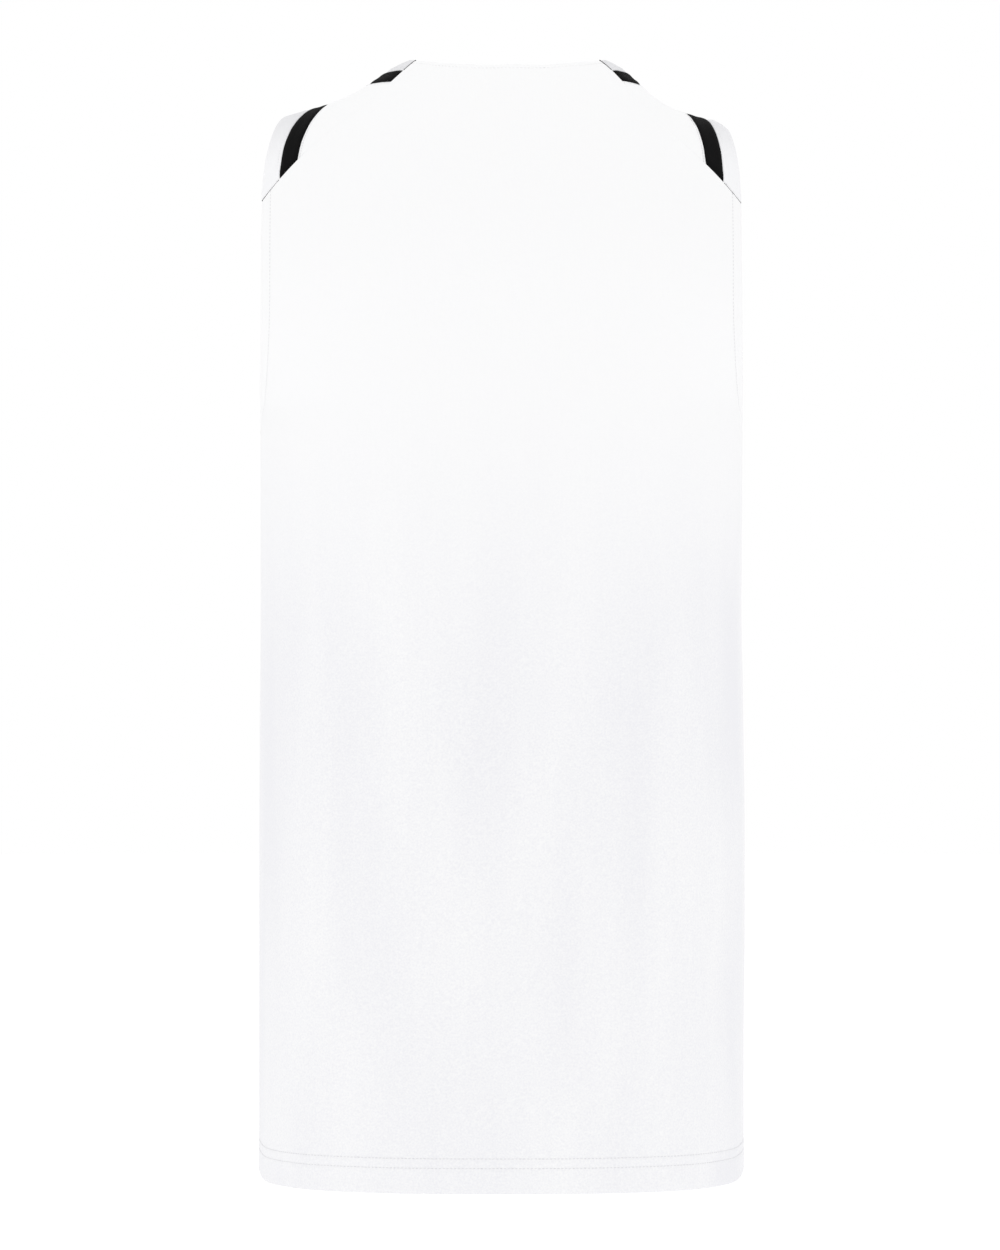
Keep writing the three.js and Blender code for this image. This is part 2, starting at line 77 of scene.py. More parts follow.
class Side(Enum):
    """The wearer's two sides, as the sign of X."""

    LEFT = 1
    RIGHT = -1


class Face(Enum):
    """The two faces of the body, as the sign of `over`."""

    BACK = -1
    FRONT = 1


def smoothstep(x: np.ndarray, low: float, high: float) -> np.ndarray:
    """Rise smoothly from 0 at `low` to 1 at `high`.

    Args:
        x: Values to map.
        low: Where the rise starts.
        high: Where it ends.

    Returns:
        The mapped values.
    """
    t = np.clip((x - low) / (high - low), 0.0, 1.0)
    return t * t * (3.0 - 2.0 * t)


def bump(distance: np.ndarray, middle: float, width: float) -> np.ndarray:
    """Give a soft bell of height 1 at `middle`, about `width` wide on each side."""
    return np.exp(-(((distance - middle) / width) ** 2))


def unit(vectors: np.ndarray) -> np.ndarray:
    """Scale each vector to a length of one."""
    return vectors / np.maximum(np.linalg.norm(vectors, axis=-1, keepdims=True), 1e-12)


def lengths_along(points: np.ndarray) -> np.ndarray:
    """Give the length along a line of points, at each of them."""
    steps = np.linalg.norm(np.diff(points, axis=0), axis=1)
    return np.concatenate([[0.0], np.cumsum(steps)])


def read_table(table: np.ndarray, reach: np.ndarray, wanted: np.ndarray) -> np.ndarray:
    """Read a table of vectors, one for each length in `reach`, at the wanted lengths."""
    return np.stack([np.interp(wanted, reach, column) for column in table.T], -1)


def mix(a: np.ndarray, b: np.ndarray, t: np.ndarray | float) -> np.ndarray:
    """Go from `a` to `b` by the share `t`."""
    return a + (b - a) * t


class SmoothCurve:
    """A smooth curve through a short table, which never overshoots its points."""

    def __init__(self, points: Sequence[tuple[float, float]]) -> None:
        """Work out the slope at each point.

        Args:
            points: Pairs of input and output, in any order.
        """
        table = np.array(sorted(points), float)
        self.at = table[:, 0]
        self.value = table[:, 1]
        chord = np.diff(self.value) / np.diff(self.at)
        before, after = chord[:-1], chord[1:]
        product = before * after
        total = np.where(before + after == 0.0, 1.0, before + after)
        inner = np.where(product <= 0.0, 0.0, 2.0 * product / total)
        self.slope = np.concatenate([chord[:1], inner, chord[-1:]])

    def __call__(self, x: np.ndarray | float) -> np.ndarray:
        """Read the curve.

        Args:
            x: Inputs, held to the ends of the table.

        Returns:
            The curve's values there.
        """
        x = np.clip(np.asarray(x, float), self.at[0], self.at[-1])
        i = np.clip(np.searchsorted(self.at, x, side="right") - 1, 0, len(self.at) - 2)
        span = self.at[i + 1] - self.at[i]
        t = (x - self.at[i]) / span
        blend = t * t * (3.0 - 2.0 * t)
        lean = span * t * (1.0 - t) * ((1.0 - t) * self.slope[i] - t * self.slope[i + 1])
        return mix(self.value[i], self.value[i + 1], blend) + lean


class QuarterOval:
    """A quarter of a rounded oval, read by the share of its length."""

    STEPS = 720

    def __init__(self, power: float, rising_reach: float, falling_reach: float) -> None:
        """Measure the oval.

        Args:
            power: How square it is; 2 is an ellipse.
            rising_reach: Its reach along the side that grows from 0.
            falling_reach: Its reach along the side that shrinks to 0.
        """
        angle = np.linspace(0.0, math.pi / 2.0, self.STEPS + 1)
        self.rising = np.sin(angle) ** (2.0 / power)
        self.falling = np.maximum(np.cos(angle), 0.0) ** (2.0 / power)
        self.falling[-1] = 0.0
        steps = np.hypot(np.diff(self.rising) * rising_reach, np.diff(self.falling) * falling_reach)
        reach = np.concatenate([[0.0], np.cumsum(steps)])
        self.length = float(reach[-1])
        self.share = reach / reach[-1]

    def at(self, share: np.ndarray) -> tuple[np.ndarray, np.ndarray]:
        """Give the rising and the falling side at a share of the length."""
        return np.interp(share, self.share, self.rising), np.interp(share, self.share, self.falling)

    def share_where_rising(self, rising: np.ndarray) -> np.ndarray:
        """Give the share of the length at which the rising side has a value."""
        return np.interp(rising, self.rising, self.share)

    def share_where_falling(self, falling: np.ndarray) -> np.ndarray:
        """Give the share of the length at which the falling side has a value."""
        return np.interp(falling, self.falling[::-1], self.share[::-1])


@dataclass(frozen=True)
class Fold:
    """A soft upright trough or ridge in the body's cloth.

    `at` is millimetres round the body from the centre of the back, positive towards +X, and
    `lean` moves it sideways for each millimetre down. A negative `rise` is a trough.
    """

    at: float
    top: float
    bottom: float
    width: float
    rise: float
    lean: float = 0.0
    fade: float = 110.0


# The folds and the fine creases also paint shade into the cloth's colour in their troughs, and lighten
# it a little on their ridges.
MAIN_FOLDS = (
    Fold(-178, -500, -700, 26, -1.8),
    Fold(-165, -240, -530, 38, -3.2),
    Fold(-124, -330, -900, 28, 2.2),
    Fold(-84, -230, -620, 24, -1.4),
    Fold(-40, -200, -900, 26, 1.0),
    Fold(12, -220, -560, 24, -1.2),
    Fold(56, -260, -900, 26, 1.2),
    Fold(96, -300, -660, 24, -1.5),
    Fold(132, -320, -900, 28, 2.0),
    Fold(170, -290, -600, 34, -2.6),
    Fold(262, -330, -900, 32, 2.2),
    Fold(312, -230, -900, 34, -3.0),
    Fold(360, -330, -900, 32, 2.4),
    Fold(408, -260, -900, 28, -2.2),
    Fold(452, -380, -900, 26, 1.4),
    Fold(-264, -330, -900, 32, 2.0),
    Fold(-306, -240, -900, 34, -3.0),
    Fold(-354, -350, -900, 30, 2.4),
    Fold(-400, -280, -740, 28, -2.0),
    Fold(-446, -330, -900, 30, 1.6),
)

FINE_CREASES = (
    Fold(-196, -268, -420, 9, -0.9, 0.10, 60),
    Fold(-150, -300, -520, 11, 0.7, -0.05, 80),
    Fold(-110, -560, -690, 10, -0.6, 0.06, 50),
    Fold(-72, -262, -430, 9, 0.5, 0.04, 60),
    Fold(-22, -300, -470, 10, -0.6, -0.03, 70),
    Fold(30, -205, -400, 9, -0.6, 0.05, 70),
    Fold(44, -430, -640, 11, 0.6, -0.04, 80),
    Fold(78, -228, -390, 9, 0.6, -0.06, 60),
    Fold(110, -600, -705, 10, 0.6, 0.03, 45),
    Fold(148, -262, -470, 11, -0.9, -0.08, 80),
    Fold(190, -258, -380, 9, -0.8, -0.12, 50),
    Fold(198, -330, -540, 22, -1.7, 0.0, 90),
    Fold(-196, -290, -500, 24, -1.9, 0.0, 80),
    Fold(204, -520, -690, 12, -1.0, 0.04, 60),
    Fold(240, -300, -520, 10, -0.8, 0.05, 70),
    Fold(286, -360, -640, 12, 0.8, -0.04, 90),
    Fold(336, -215, -400, 10, -0.7, 0.05, 60),
    Fold(384, -300, -560, 11, 0.7, 0.03, 80),
    Fold(430, -250, -480, 10, -0.7, -0.04, 70),
    Fold(-226, -400, -640, 11, 0.8, -0.04, 80),
    Fold(-248, -258, -400, 10, -0.9, 0.08, 50),
    Fold(-288, -420, -690, 12, 0.8, 0.03, 90),
    Fold(-330, -230, -430, 10, -0.7, -0.05, 70),
    Fold(-378, -300, -520, 11, 0.7, -0.03, 80),
    Fold(-424, -225, -440, 10, -0.6, 0.04, 70),
    Fold(156, -694, -760, 30, -1.8, 0.0, 22),
    Fold(-165, -690, -760, 38, -2.2, 0.0, 22),
)


@dataclass(frozen=True)
class Opening:
    """The edge of the neck or an armhole, as places, and which side of it the cloth is on."""

    edge: Grid
    cloth_on_right: bool


@dataclass
class JerseyForm:
    """The form that every piece of the jersey lies on. Sizes are in millimetres."""

    half_width: float = 155.5
    body_length: float = -CAD_BOX[0][2] / MM
    underarm_drop: float = 224.0
    rounding_drop: float = 147.0
    ring_power: float = 2.6
    rounding_power: float = 2.05
    armhole_depth_share: float = 0.56
    neck_half_width: float = 62.5
    neck_front_drop: float = 108.0
    neck_front_power: float = 1.85
    neck_back_depth: float = 53.2
    neck_back_power: float = 2.5
    neck_lean: float = -4.0
    lean_x: tuple[float, float] = (62.0, 115.0)
    lean_z: tuple[float, float] = (-150.0, -10.0)
    shoulder_tilt: float = 2.0
    tilt_x: tuple[float, float] = (75.0, 125.0)
    hem_lift: float = 2.6
    lift_across: tuple[float, float] = (0.74, 1.0)
    lift_down: tuple[float, float] = (560.0, 721.0)
    seam_neck: tuple[float, float] = (61.0, -1.2)
    seam_arm: tuple[float, float] = (153.0, -94.0)
    seam_sway: float = 1.3
    wall: float = 1.5
    hem_wall: float = 2.4
    hem_height: float = 23.0
    side_gap: float = 0.05
    walk_step: float = 4.0
    edge_steps: int = 160
    back_sections: tuple[tuple[float, float], ...] = (
        (-721, 127), (-560, 122), (-420, 119), (-300, 124), (-200, 129), (-147, 129),
    )
    front_sections: tuple[tuple[float, float], ...] = (
        (-721, 129), (-560, 129), (-420, 131), (-300, 135), (-200, 135), (-147, 132),
    )
    ridge: tuple[tuple[float, float], ...] = (
        (0, 8.5), (36, 6.8), (56, 3.8), (67, 0.6), (76, -4.6), (87, -13), (97, -20.1),
        (112, -27.7), (127, -32.5), (140, -36.1), (145, -39.5), (150, -46.5), (158, -61.5),
        (166, -81.5), (176, -105.5),
    )
    armhole_right: tuple[tuple[float, float], ...] = (
        (-1, 155.5), (-0.88, 153.8), (-0.75, 153), (-0.4, 152.6), (-0.3, 152), (-0.2, 150.4),
        (-0.1, 148.4), (0, 146.6), (0.2, 143), (0.4, 141.2), (0.66, 142.4), (0.86, 148), (1, 155.5),
    )
    armhole_left: tuple[tuple[float, float], ...] = (
        (-1, 155.5), (-0.88, 153.8), (-0.75, 153), (-0.4, 152.6), (-0.3, 151.4), (-0.2, 148.4),
        (-0.1, 144.4), (0, 140.6), (0.2, 137), (0.4, 137.2), (0.66, 140.4), (0.86, 147.5), (1, 155.5),
    )

    def __post_init__(self) -> None:
        """Work out the curves and the openings."""
        self.back_depth = SmoothCurve(self.back_sections)
        self.front_depth = SmoothCurve(self.front_sections)
        self.ridge_height = SmoothCurve(self.ridge)
        self.ring = QuarterOval(
            self.ring_power, self.half_width, float(self.back_depth(-self.underarm_drop))
        )
        self.rounding = QuarterOval(
            self.rounding_power, float(self.back_depth(-self.rounding_drop)), self.rounding_drop
        )
        self.underarm_over = self.rounding.length + self.underarm_drop - self.rounding_drop
        self.side_edge = 1.0 - self.side_gap / 2.0 / self.ring.length
        self.shoulder_half_width = float(self.width_at(0.0))
        self.neck = Opening(self._neck_edge(), True)
        self.armholes = {
            Side.LEFT: Opening(self._armhole_edge(SmoothCurve(self.armhole_left)), False),
            Side.RIGHT: Opening(self._armhole_edge(SmoothCurve(self.armhole_right)), False),
        }

    def width_at(self, z: np.ndarray | float) -> np.ndarray:
        """Give half the form's width at a height. It swells above the underarm.

        Args:
            z: The heights.

        Returns:
            The half widths.
        """
        climb = np.clip(
            (z + self.underarm_drop) / (self.underarm_drop - self.rounding_drop), 0.0, 1.0
        )
        depth = self.armhole_depth_share * np.sqrt(1.0 - (1.0 - climb) ** 2)
        return self.half_width / (1.0 - depth**self.ring_power) ** (1.0 / self.ring_power)

    def height(self, places: Grid) -> np.ndarray:
        """Give the height of places.

        Args:
            places: Where.

        Returns:
            The heights.
        """
        down = np.abs(places[..., 1])
        x = self.shoulder_half_width * self.ring.at(np.abs(places[..., 0]))[0]
        falling = self.rounding.at(down / self.rounding.length)[1]
        above = (self.ridge_height(x) + self.rounding_drop) * falling - self.rounding_drop
        below = -self.rounding_drop - (down - self.rounding.length)
        return np.where(down >= self.rounding.length, below, above)

    def smooth_point(self, places: Grid) -> np.ndarray:
        """Give points of the form before any fold.

        Args:
            places: Where.

        Returns:
            The points.
        """
        across, over = places[..., 0], places[..., 1]
        rising, falling = self.ring.at(np.abs(across))
        z = self.height(places)
        turned = self.rounding.at(np.abs(over) / self.rounding.length)[0]
        depth = np.where(over < 0.0, self.back_depth(z), -self.front_depth(z))
        x = np.sign(across) * self.width_at(z) * rising
        return np.stack([x, depth * falling * turned, z], -1)

    def slopes(self, places: Grid) -> tuple[np.ndarray, np.ndarray]:
        """Give the directions of a step across and a step over, by small differences.

        Args:
            places: Where.

        Returns:
            The direction of a step across and that of a step over, for a step of one unit.
        """
        step_across, step_over = 0.002, 0.5
        across, over = places[..., 0], places[..., 1]
        low = np.maximum(-1.0, across - step_across)
        high = np.minimum(1.0, across + step_across)
        sideways = self.smooth_point(np.stack([high, over], -1))
        sideways = sideways - self.smooth_point(np.stack([low, over], -1))
        sideways = sideways / (high - low)[..., None]
        lengthways = self.smooth_point(np.stack([across, over + step_over], -1))
        lengthways = lengthways - self.smooth_point(np.stack([across, over - step_over], -1))
        return sideways, lengthways / (2.0 * step_over)

    def outward(self, places: Grid) -> np.ndarray:
        """Give the unit direction out of the form at places."""
        sideways, lengthways = self.slopes(places)
        return unit(np.cross(lengthways, sideways))

    def fold_height(self, places: Grid) -> np.ndarray:
        """Give how far folds and creases lift the cloth off the smooth form.

        Args:
            places: Where.

        Returns:
            The lift, negative in a trough.
        """
        across, over = places[..., 0], places[..., 1]
        z = self.height(places)
        whole = 4.0 * self.ring.length
        front = np.where(across < 0.0, -2.0, 2.0) - across
        at = np.where(over < 0.0, across, front) * self.ring.length
        height = np.zeros_like(z)
        for fold in MAIN_FOLDS + FINE_CREASES:
            apart = np.abs(at - fold.at - fold.lean * (fold.top - z))
            away = np.minimum(apart, np.abs(whole - apart)) / fold.width
            starts = smoothstep(fold.top - z, 0.0, fold.fade)
            ends = smoothstep(z - fold.bottom, 0.0, fold.fade)
            height += fold.rise * np.exp(-(away**2)) * starts * ends
        return height

    def cloth_point(self, places: Grid) -> np.ndarray:
        """Give points of the middle of the cloth, in its folds and with the neck's lean.

        Args:
            places: Where.

        Returns:
            The points.
        """
        outward = self.outward(places)
        points = self.smooth_point(places) + outward * self.fold_height(places)[..., None]
        high = smoothstep(points[..., 2], *self.lean_z)
        far = smoothstep(np.abs(points[..., 0]), *self.tilt_x)
        points[..., 2] += self.shoulder_tilt * np.sign(points[..., 0]) * far * high
        near = 1.0 - smoothstep(np.abs(points[..., 0]), *self.lean_x)
        points[..., 0] += self.neck_lean * near * high
        low = smoothstep(-points[..., 2], *self.lift_down)
        points[..., 2] += self.hem_lift * smoothstep(np.abs(places[..., 0]), *self.lift_across) * low
        return points

    def walk(self, places: Grid, direction: np.ndarray, distance: float) -> Grid:
        """Step from places over the form.

        Args:
            places: Where to start, one row each.
            direction: A direction in space for each.
            distance: How far to go, in millimetres.

        Returns:
            The places reached.
        """
        steps = max(1, math.ceil(distance / self.walk_step))
        heading = direction.copy()
        here = places.copy()
        for _ in range(steps):
            outward = self.outward(here)
            heading = unit(heading - outward * (heading * outward).sum(-1, keepdims=True))
            sideways, lengthways = self.slopes(here)
            ss = (sideways * sideways).sum(-1)
            sl = (sideways * lengthways).sum(-1)
            ll = (lengthways * lengthways).sum(-1)
            hs = (sideways * heading).sum(-1)
            hl = (lengthways * heading).sum(-1)
            scale = distance / steps / (ss * ll - sl * sl)
            here = here + np.stack([(hs * ll - hl * sl) * scale, (hl * ss - hs * sl) * scale], -1)
        return here

    def place_from_height(self, x: np.ndarray, z: np.ndarray, face: Face) -> Grid:
        """Find places from what a front or back view shows.

        Args:
            x: Distances from the centre, not negative.
            z: Heights.
            face: The face they are on.

        Returns:
            The places.
        """
        x, z = np.broadcast_arrays(np.asarray(x, float), np.asarray(z, float))
        across = self.ring.share_where_rising(x / self.width_at(z))
        low = self.rounding.length - self.rounding_drop - z
        high = (z + self.rounding_drop) / (self.ridge_height(x) + self.rounding_drop)
        up = self.rounding.length * self.rounding.share_where_falling(high)
        return np.stack([across, face.value * np.where(z <= -self.rounding_drop, low, up)], -1)

    def place_from_above(self, x: np.ndarray, y: np.ndarray) -> Grid:
        """Find places behind the shoulder ridge from what a top view shows.

        Args:
            x: Distances from the centre, not negative.
            y: Distances behind the ridge.

        Returns:
            The places.
        """
        across = self.ring.share_where_rising(x / self.shoulder_half_width)
        turned = y / float(self.back_depth(0.0)) / self.ring.at(across)[1]
        return np.stack([across, -self.rounding.length * self.rounding.share_where_rising(turned)], -1)

    def above_seam(self, places: Grid) -> np.ndarray:
        """Give the distance above the slanting shoulder seam; it is negative on the back panel.

        Args:
            places: Where.

        Returns:
            The distances, or the underarm's drop for places on the front.
        """
        points = self.smooth_point(places)
        run_x = self.seam_arm[0] - self.seam_neck[0]
        run_z = self.seam_arm[1] - self.seam_neck[1]
        off_x = np.abs(points[..., 0]) - self.seam_neck[0]
        off_z = points[..., 2] - self.seam_neck[1]
        straight = (run_x * off_z - run_z * off_x) / math.hypot(run_x, run_z)
        sway = self.seam_sway * np.sin(2.0 * math.pi * np.clip(off_x / run_x, 0.0, 1.0))
        return np.where(places[..., 1] > 0.0, self.underarm_drop, straight + sway)

    def moved_away(self, opening: Opening, distance: float) -> Grid:
        """Move an opening's edge over the form, away from the opening.

        Args:
            opening: The neck or the armhole.
            distance: How far the edge is moved.

        Returns:
            The places of the moved line.
        """
        edge = opening.edge
        if distance == 0.0:
            return edge
        points = self.smooth_point(edge)
        ends = np.concatenate([points[:1], points, points[-1:]])
        along = unit(ends[2:] - ends[:-2])
        away = np.cross(along, self.outward(edge))
        return self.walk(edge, away if opening.cloth_on_right else -away, distance)

    def trimmed_at_seam(self, places: Grid, face: Face) -> Grid:
        """Keep the part of a line on one side of the shoulder seam.

        Args:
            places: The line.
            face: FRONT keeps what is above the seam, and BACK what is below it.

        Returns:
            The kept places, with one exactly on the seam.
        """
        clear = face.value * self.above_seam(places)
        inside = clear >= 0.0
        kept: list[np.ndarray] = []
        for i, place in enumerate(places):
            if i > 0 and inside[i] != inside[i - 1]:
                near, far = (place, places[i - 1]) if inside[i] else (places[i - 1], place)
                for _ in range(24):
                    middle = (near + far) / 2.0
                    if face.value * self.above_seam(middle) >= 0.0:
                        near = middle
                    else:
                        far = middle
                kept.append(near)
            if inside[i]:
                kept.append(place)
        return np.array(kept)

    def reach(self, places: Grid) -> np.ndarray:
        """Give the length along a line of places, at each of them."""
        return lengths_along(self.smooth_point(places))

    def evenly(self, places: Grid, count: int) -> Grid:
        """Cut a line into `count` equal steps.

        Args:
            places: The line.
            count: How many steps.

        Returns:
            The places at the steps and at both ends.
        """
        reach = self.reach(places)
        return read_table(places, reach, np.linspace(0.0, reach[-1], count + 1))

    def line_around(self, opening: Opening, distance: float, stations: int, face: Face) -> Grid:
        """Give a line round an opening on the +X side, from the centre or side to the seam.

        Args:
            opening: The neck or the armhole.
            distance: How far the line is from the edge.
            stations: How many equal steps it has.
            face: The face whose part of the line is kept.

        Returns:
            The places of the line.
        """
        line = self.trimmed_at_seam(self.moved_away(opening, distance), face)
        if self.starts_at_seam(line):
            line = line[::-1]
        line = self.evenly(line, stations)
        line[0, 0] = 0.0 if opening is self.neck else self.side_edge
        return line

    def seam_line(self, start: np.ndarray, end: np.ndarray, shares: np.ndarray) -> Grid:
        """Follow the shoulder seam.

        Args:
            start: The place at its neck end.
            end: The place at its armhole end.
            shares: The shares of its length that are wanted.

        Returns:
            The places.
        """
        x = mix(self.smooth_point(start)[0], self.smooth_point(end)[0], np.linspace(0.0, 1.0, 61))
        slope = (self.seam_arm[1] - self.seam_neck[1]) / (self.seam_arm[0] - self.seam_neck[0])
        guess = self.seam_neck[1] + slope * (x - self.seam_neck[0])
        for _ in range(6):
            places = self.place_from_height(x, guess, Face.BACK)
            guess = guess - self.above_seam(places) * math.hypot(1.0, slope)
        places[0], places[-1] = start, end
        reach = self.reach(places)
        return read_table(places, reach, shares * reach[-1])

    def strip_weave(self, grid: Grid, across: np.ndarray) -> np.ndarray:
        """Lay a strip of cloth flat.

        Args:
            grid: Its lines of places.
            across: The distance of each line across the strip.

        Returns:
            Where each place lies on the cut strip.
        """
        along = np.stack([self.reach(line) for line in grid])
        return np.stack([np.broadcast_to(across[:, None], along.shape), along], -1)

    def starts_at_seam(self, line: Grid) -> bool:
        """Tell whether a line's first place is its end at the shoulder seam."""
        ends = np.abs(self.above_seam(line[[0, -1]]))
        return bool(ends[0] < ends[1])

    def level(self, z: float, face: Face, across: float) -> Grid:
        """Give one place on the lower body, at a height."""
        return np.array([across, face.value * (self.rounding.length - self.rounding_drop - z)])

    def _neck_edge(self) -> Grid:
        """Give the neck's edge on the +X side, from the front centre round to the back centre.

        Returns:
            The places of the edge.
        """
        angle = np.linspace(0.0, math.pi / 2.0, self.edge_steps + 1)
        power = 2.0 / self.neck_front_power
        x = self.neck_half_width * np.sin(angle[:-1]) ** power
        fall = self.neck_front_drop * np.cos(angle[:-1]) ** power
        top = float(self.ridge_height(self.neck_half_width))
        front = self.place_from_height(x, top - fall, Face.FRONT)
        power = 2.0 / self.neck_back_power
        x = self.neck_half_width * np.maximum(np.cos(angle), 0.0) ** power
        back = self.place_from_above(x, self.neck_back_depth * np.sin(angle) ** power)
        return np.concatenate([front, back])

    def _armhole_edge(self, edge_x: SmoothCurve) -> Grid:
        """Give an armhole's edge on the +X side, from the underarm up the front and down the back.

        Args:
            edge_x: The edge's distance from the centre, read from -1 at the back of the underarm to 1
                at its front.

        Returns:
            The places of the edge.
        """
        down = np.cos(np.linspace(0.0, math.pi, 2 * self.edge_steps + 1))
        over = self.underarm_over * down
        z = -self.rounding_drop - np.maximum(0.0, np.abs(over) - self.rounding.length)
        across = self.ring.share_where_rising(edge_x(down) / self.width_at(z))
        return np.stack([np.minimum(across, self.side_edge), over], -1)


def on_side(places: Grid, side: Side) -> Grid:
    """Carry places given for the +X side over to a side of the jersey."""
    return places * np.array([float(side.value), 1.0])


class ClothSheet:
    """A sheet of cloth made from grids of places, which share the places on their common lines."""

    def __init__(self, form: JerseyForm) -> None:
        """Start an empty sheet on a form.

        Args:
            form: The form that it lies on.
        """
        self.form = form
        self.places: list[np.ndarray] = []
        self.weave: list[np.ndarray] = []
        self.inset: list[np.ndarray] = []
        self.quads: list[np.ndarray] = []
        self.count = 0

    def add_grid(self, places: Grid, inset: np.ndarray, weave: np.ndarray | None = None) -> None:
        """Add a grid.

        Args:
            places: Rows of places.
            inset: The distance of each from the nearest free or stitched edge.
            weave: Where each lies on the cut cloth, in millimetres, if not by its place.
        """
        rows, columns = places.shape[:2]
        if weave is None:
            weave = np.stack([places[..., 0] * self.form.ring.length, places[..., 1]], -1)
        ids = self.count + np.arange(rows * columns).reshape(rows, columns)
        self.places.append(places.reshape(-1, 2))
        self.weave.append(weave.reshape(-1, 2))
        self.inset.append(np.broadcast_to(inset, (rows, columns)).reshape(-1))
        a, b = ids[:-1, :-1], ids[:-1, 1:]
        c, d = ids[1:, 1:], ids[1:, :-1]
        self.quads.append(np.stack([a, b, c, d], -1).reshape(-1, 4))
        self.count += rows * columns

    def add_on(
        self, side: Side, places: Grid, inset: np.ndarray, weave: np.ndarray | None = None
    ) -> None:
        """Add a grid of places given for the +X side on a side of the jersey."""
        self.add_grid(on_side(places, side), inset, weave)

    def wall(
        self,
        name: str,
        outer: Callable[[Grid, np.ndarray], np.ndarray],
        inner: Callable[[Grid, np.ndarray], np.ndarray],
        bulge: float,
    ) -> bpy.types.Object:
        """Close the sheet into a thin wall with rounded rims.

        Args:
            name: The piece's name.
            outer: Gives the outer face's distance out from the middle of the cloth.
            inner: Gives the inner face's distance in from it.
            bulge: How far a rim swells out along the cloth.

        Returns:
            The new object.
        """
        places = np.concatenate(self.places)
        weave = np.concatenate(self.weave)
        inset = np.concatenate(self.inset)
        keys = np.round(places * np.array([1e6, 1e3])).astype(np.int64)
        _, first, same = np.unique(keys, axis=0, return_index=True, return_inverse=True)
        same = same.reshape(-1)
        places, weave, inset = places[first], weave[first], inset[first]
        quads = same[np.concatenate(self.quads)]
        middle = self.form.cloth_point(places)
        outward = self.form.outward(places)
        a, b, c, d = (middle[quads[:, k]] for k in range(4))
        facing = np.cross(c - a, d - b)
        backward = (facing * outward[quads[:, 0]]).sum(-1) < 0.0
        quads[backward] = quads[backward][:, ::-1]
        edges = np.stack([quads, np.roll(quads, -1, axis=1)], -1).reshape(-1, 2)
        edges = edges[edges[:, 0] != edges[:, 1]]
        known = set(map(tuple, edges.tolist()))
        rim = np.array([edge for edge in edges.tolist() if (edge[1], edge[0]) not in known])
        beyond = np.zeros_like(middle)
        for start, end in rim:
            out = np.cross(middle[end] - middle[start], outward[start])
            beyond[start] += out
            beyond[end] += out
        count = len(places)
        top = middle + outward * outer(places, inset)[:, None]
        bottom = middle - outward * inner(places, inset)[:, None]
        edge_ids = np.unique(rim)
        side = (top + bottom)[edge_ids] / 2.0 + unit(beyond)[edge_ids] * bulge
        to_side = np.full(count, -1)
        to_side[edge_ids] = 2 * count + np.arange(len(edge_ids))
        start, end = rim[:, 0], rim[:, 1]
        closing = np.concatenate([
            np.stack([end, start, to_side[start], to_side[end]], -1),
            np.stack([to_side[end], to_side[start], start + count, end + count], -1),
        ])
        faces = np.concatenate([quads, quads[:, ::-1] + count, closing])
        # The folds' lift goes along as the weave's z, and the knit's material paints shade into the
        # troughs from it.
        weave = np.concatenate([weave, self.form.fold_height(places)[:, None]], axis=1)
        laid = np.concatenate([weave, weave, weave[edge_ids]])
        return mesh_object(name, np.concatenate([top, bottom, side]), faces.tolist(), laid)


def mesh_object(
    name: str, points: np.ndarray, faces: Sequence[Sequence[int]], weave: np.ndarray | None = None
) -> bpy.types.Object:
    """Make a smooth-shaded mesh object from points in millimetres.

    Args:
        name: The object's name.
        points: Its points.
        faces: Corner numbers of each face; a corner that repeats is dropped.
        weave: Where each point lies on the cut cloth, and how far the folds lift it there, in
            millimetres.

    Returns:
        The new object, in the scene.
    """
    distinct = [list(dict.fromkeys(face)) for face in faces]
    mesh = bpy.data.meshes.new(name)
    mesh.from_pydata((points * MM).tolist(), [], [face for face in distinct if len(face) > 2])
    mesh.polygons.foreach_set("use_smooth", [True] * len(mesh.polygons))
    if weave is not None:
        layer = mesh.attributes.new("weave", "FLOAT_VECTOR", "POINT")
        layer.data.foreach_set("vector", (weave * MM).ravel())
    mesh.update()
    piece = bpy.data.objects.new(name, mesh)
    bpy.context.scene.collection.objects.link(piece)
    return piece


def shader_group(
    name: str, vectors: Sequence[str], values: dict[str, float], outputs: Sequence[str]
) -> bpy.types.NodeTree:
    """Make an empty shader node group.

    Args:
        name: The group's name.
        vectors: The names of its vector inputs.
        values: Its number inputs, with their first values.
        outputs: The names of its outputs, each a value that changes over the surface.

    Returns:
        The group, with its input and output nodes.
    """
    group = bpy.data.node_groups.new(name, "ShaderNodeTree")
    for label in vectors:
        group.interface.new_socket(label, in_out="INPUT", socket_type="NodeSocketVector")
    for label, value in values.items():
        socket = group.interface.new_socket(label, in_out="INPUT", socket_type="NodeSocketFloat")
        socket.default_value = value
    for label in outputs:
        group.interface.new_socket(label, in_out="OUTPUT", socket_type="NodeSocketFloat")
    group.nodes.new("NodeGroupInput")
    group.nodes.new("NodeGroupOutput")
    return group


def new_material(name: str) -> tuple[bpy.types.Material, "NodeSketch"]:
    """Make a material with nodes.

    Args:
        name: Its name.

    Returns:
        The material, and the sketch of its nodes.
    """
    material = bpy.data.materials.new(name)
    material.use_nodes = True
    return material, NodeSketch(material.node_tree)


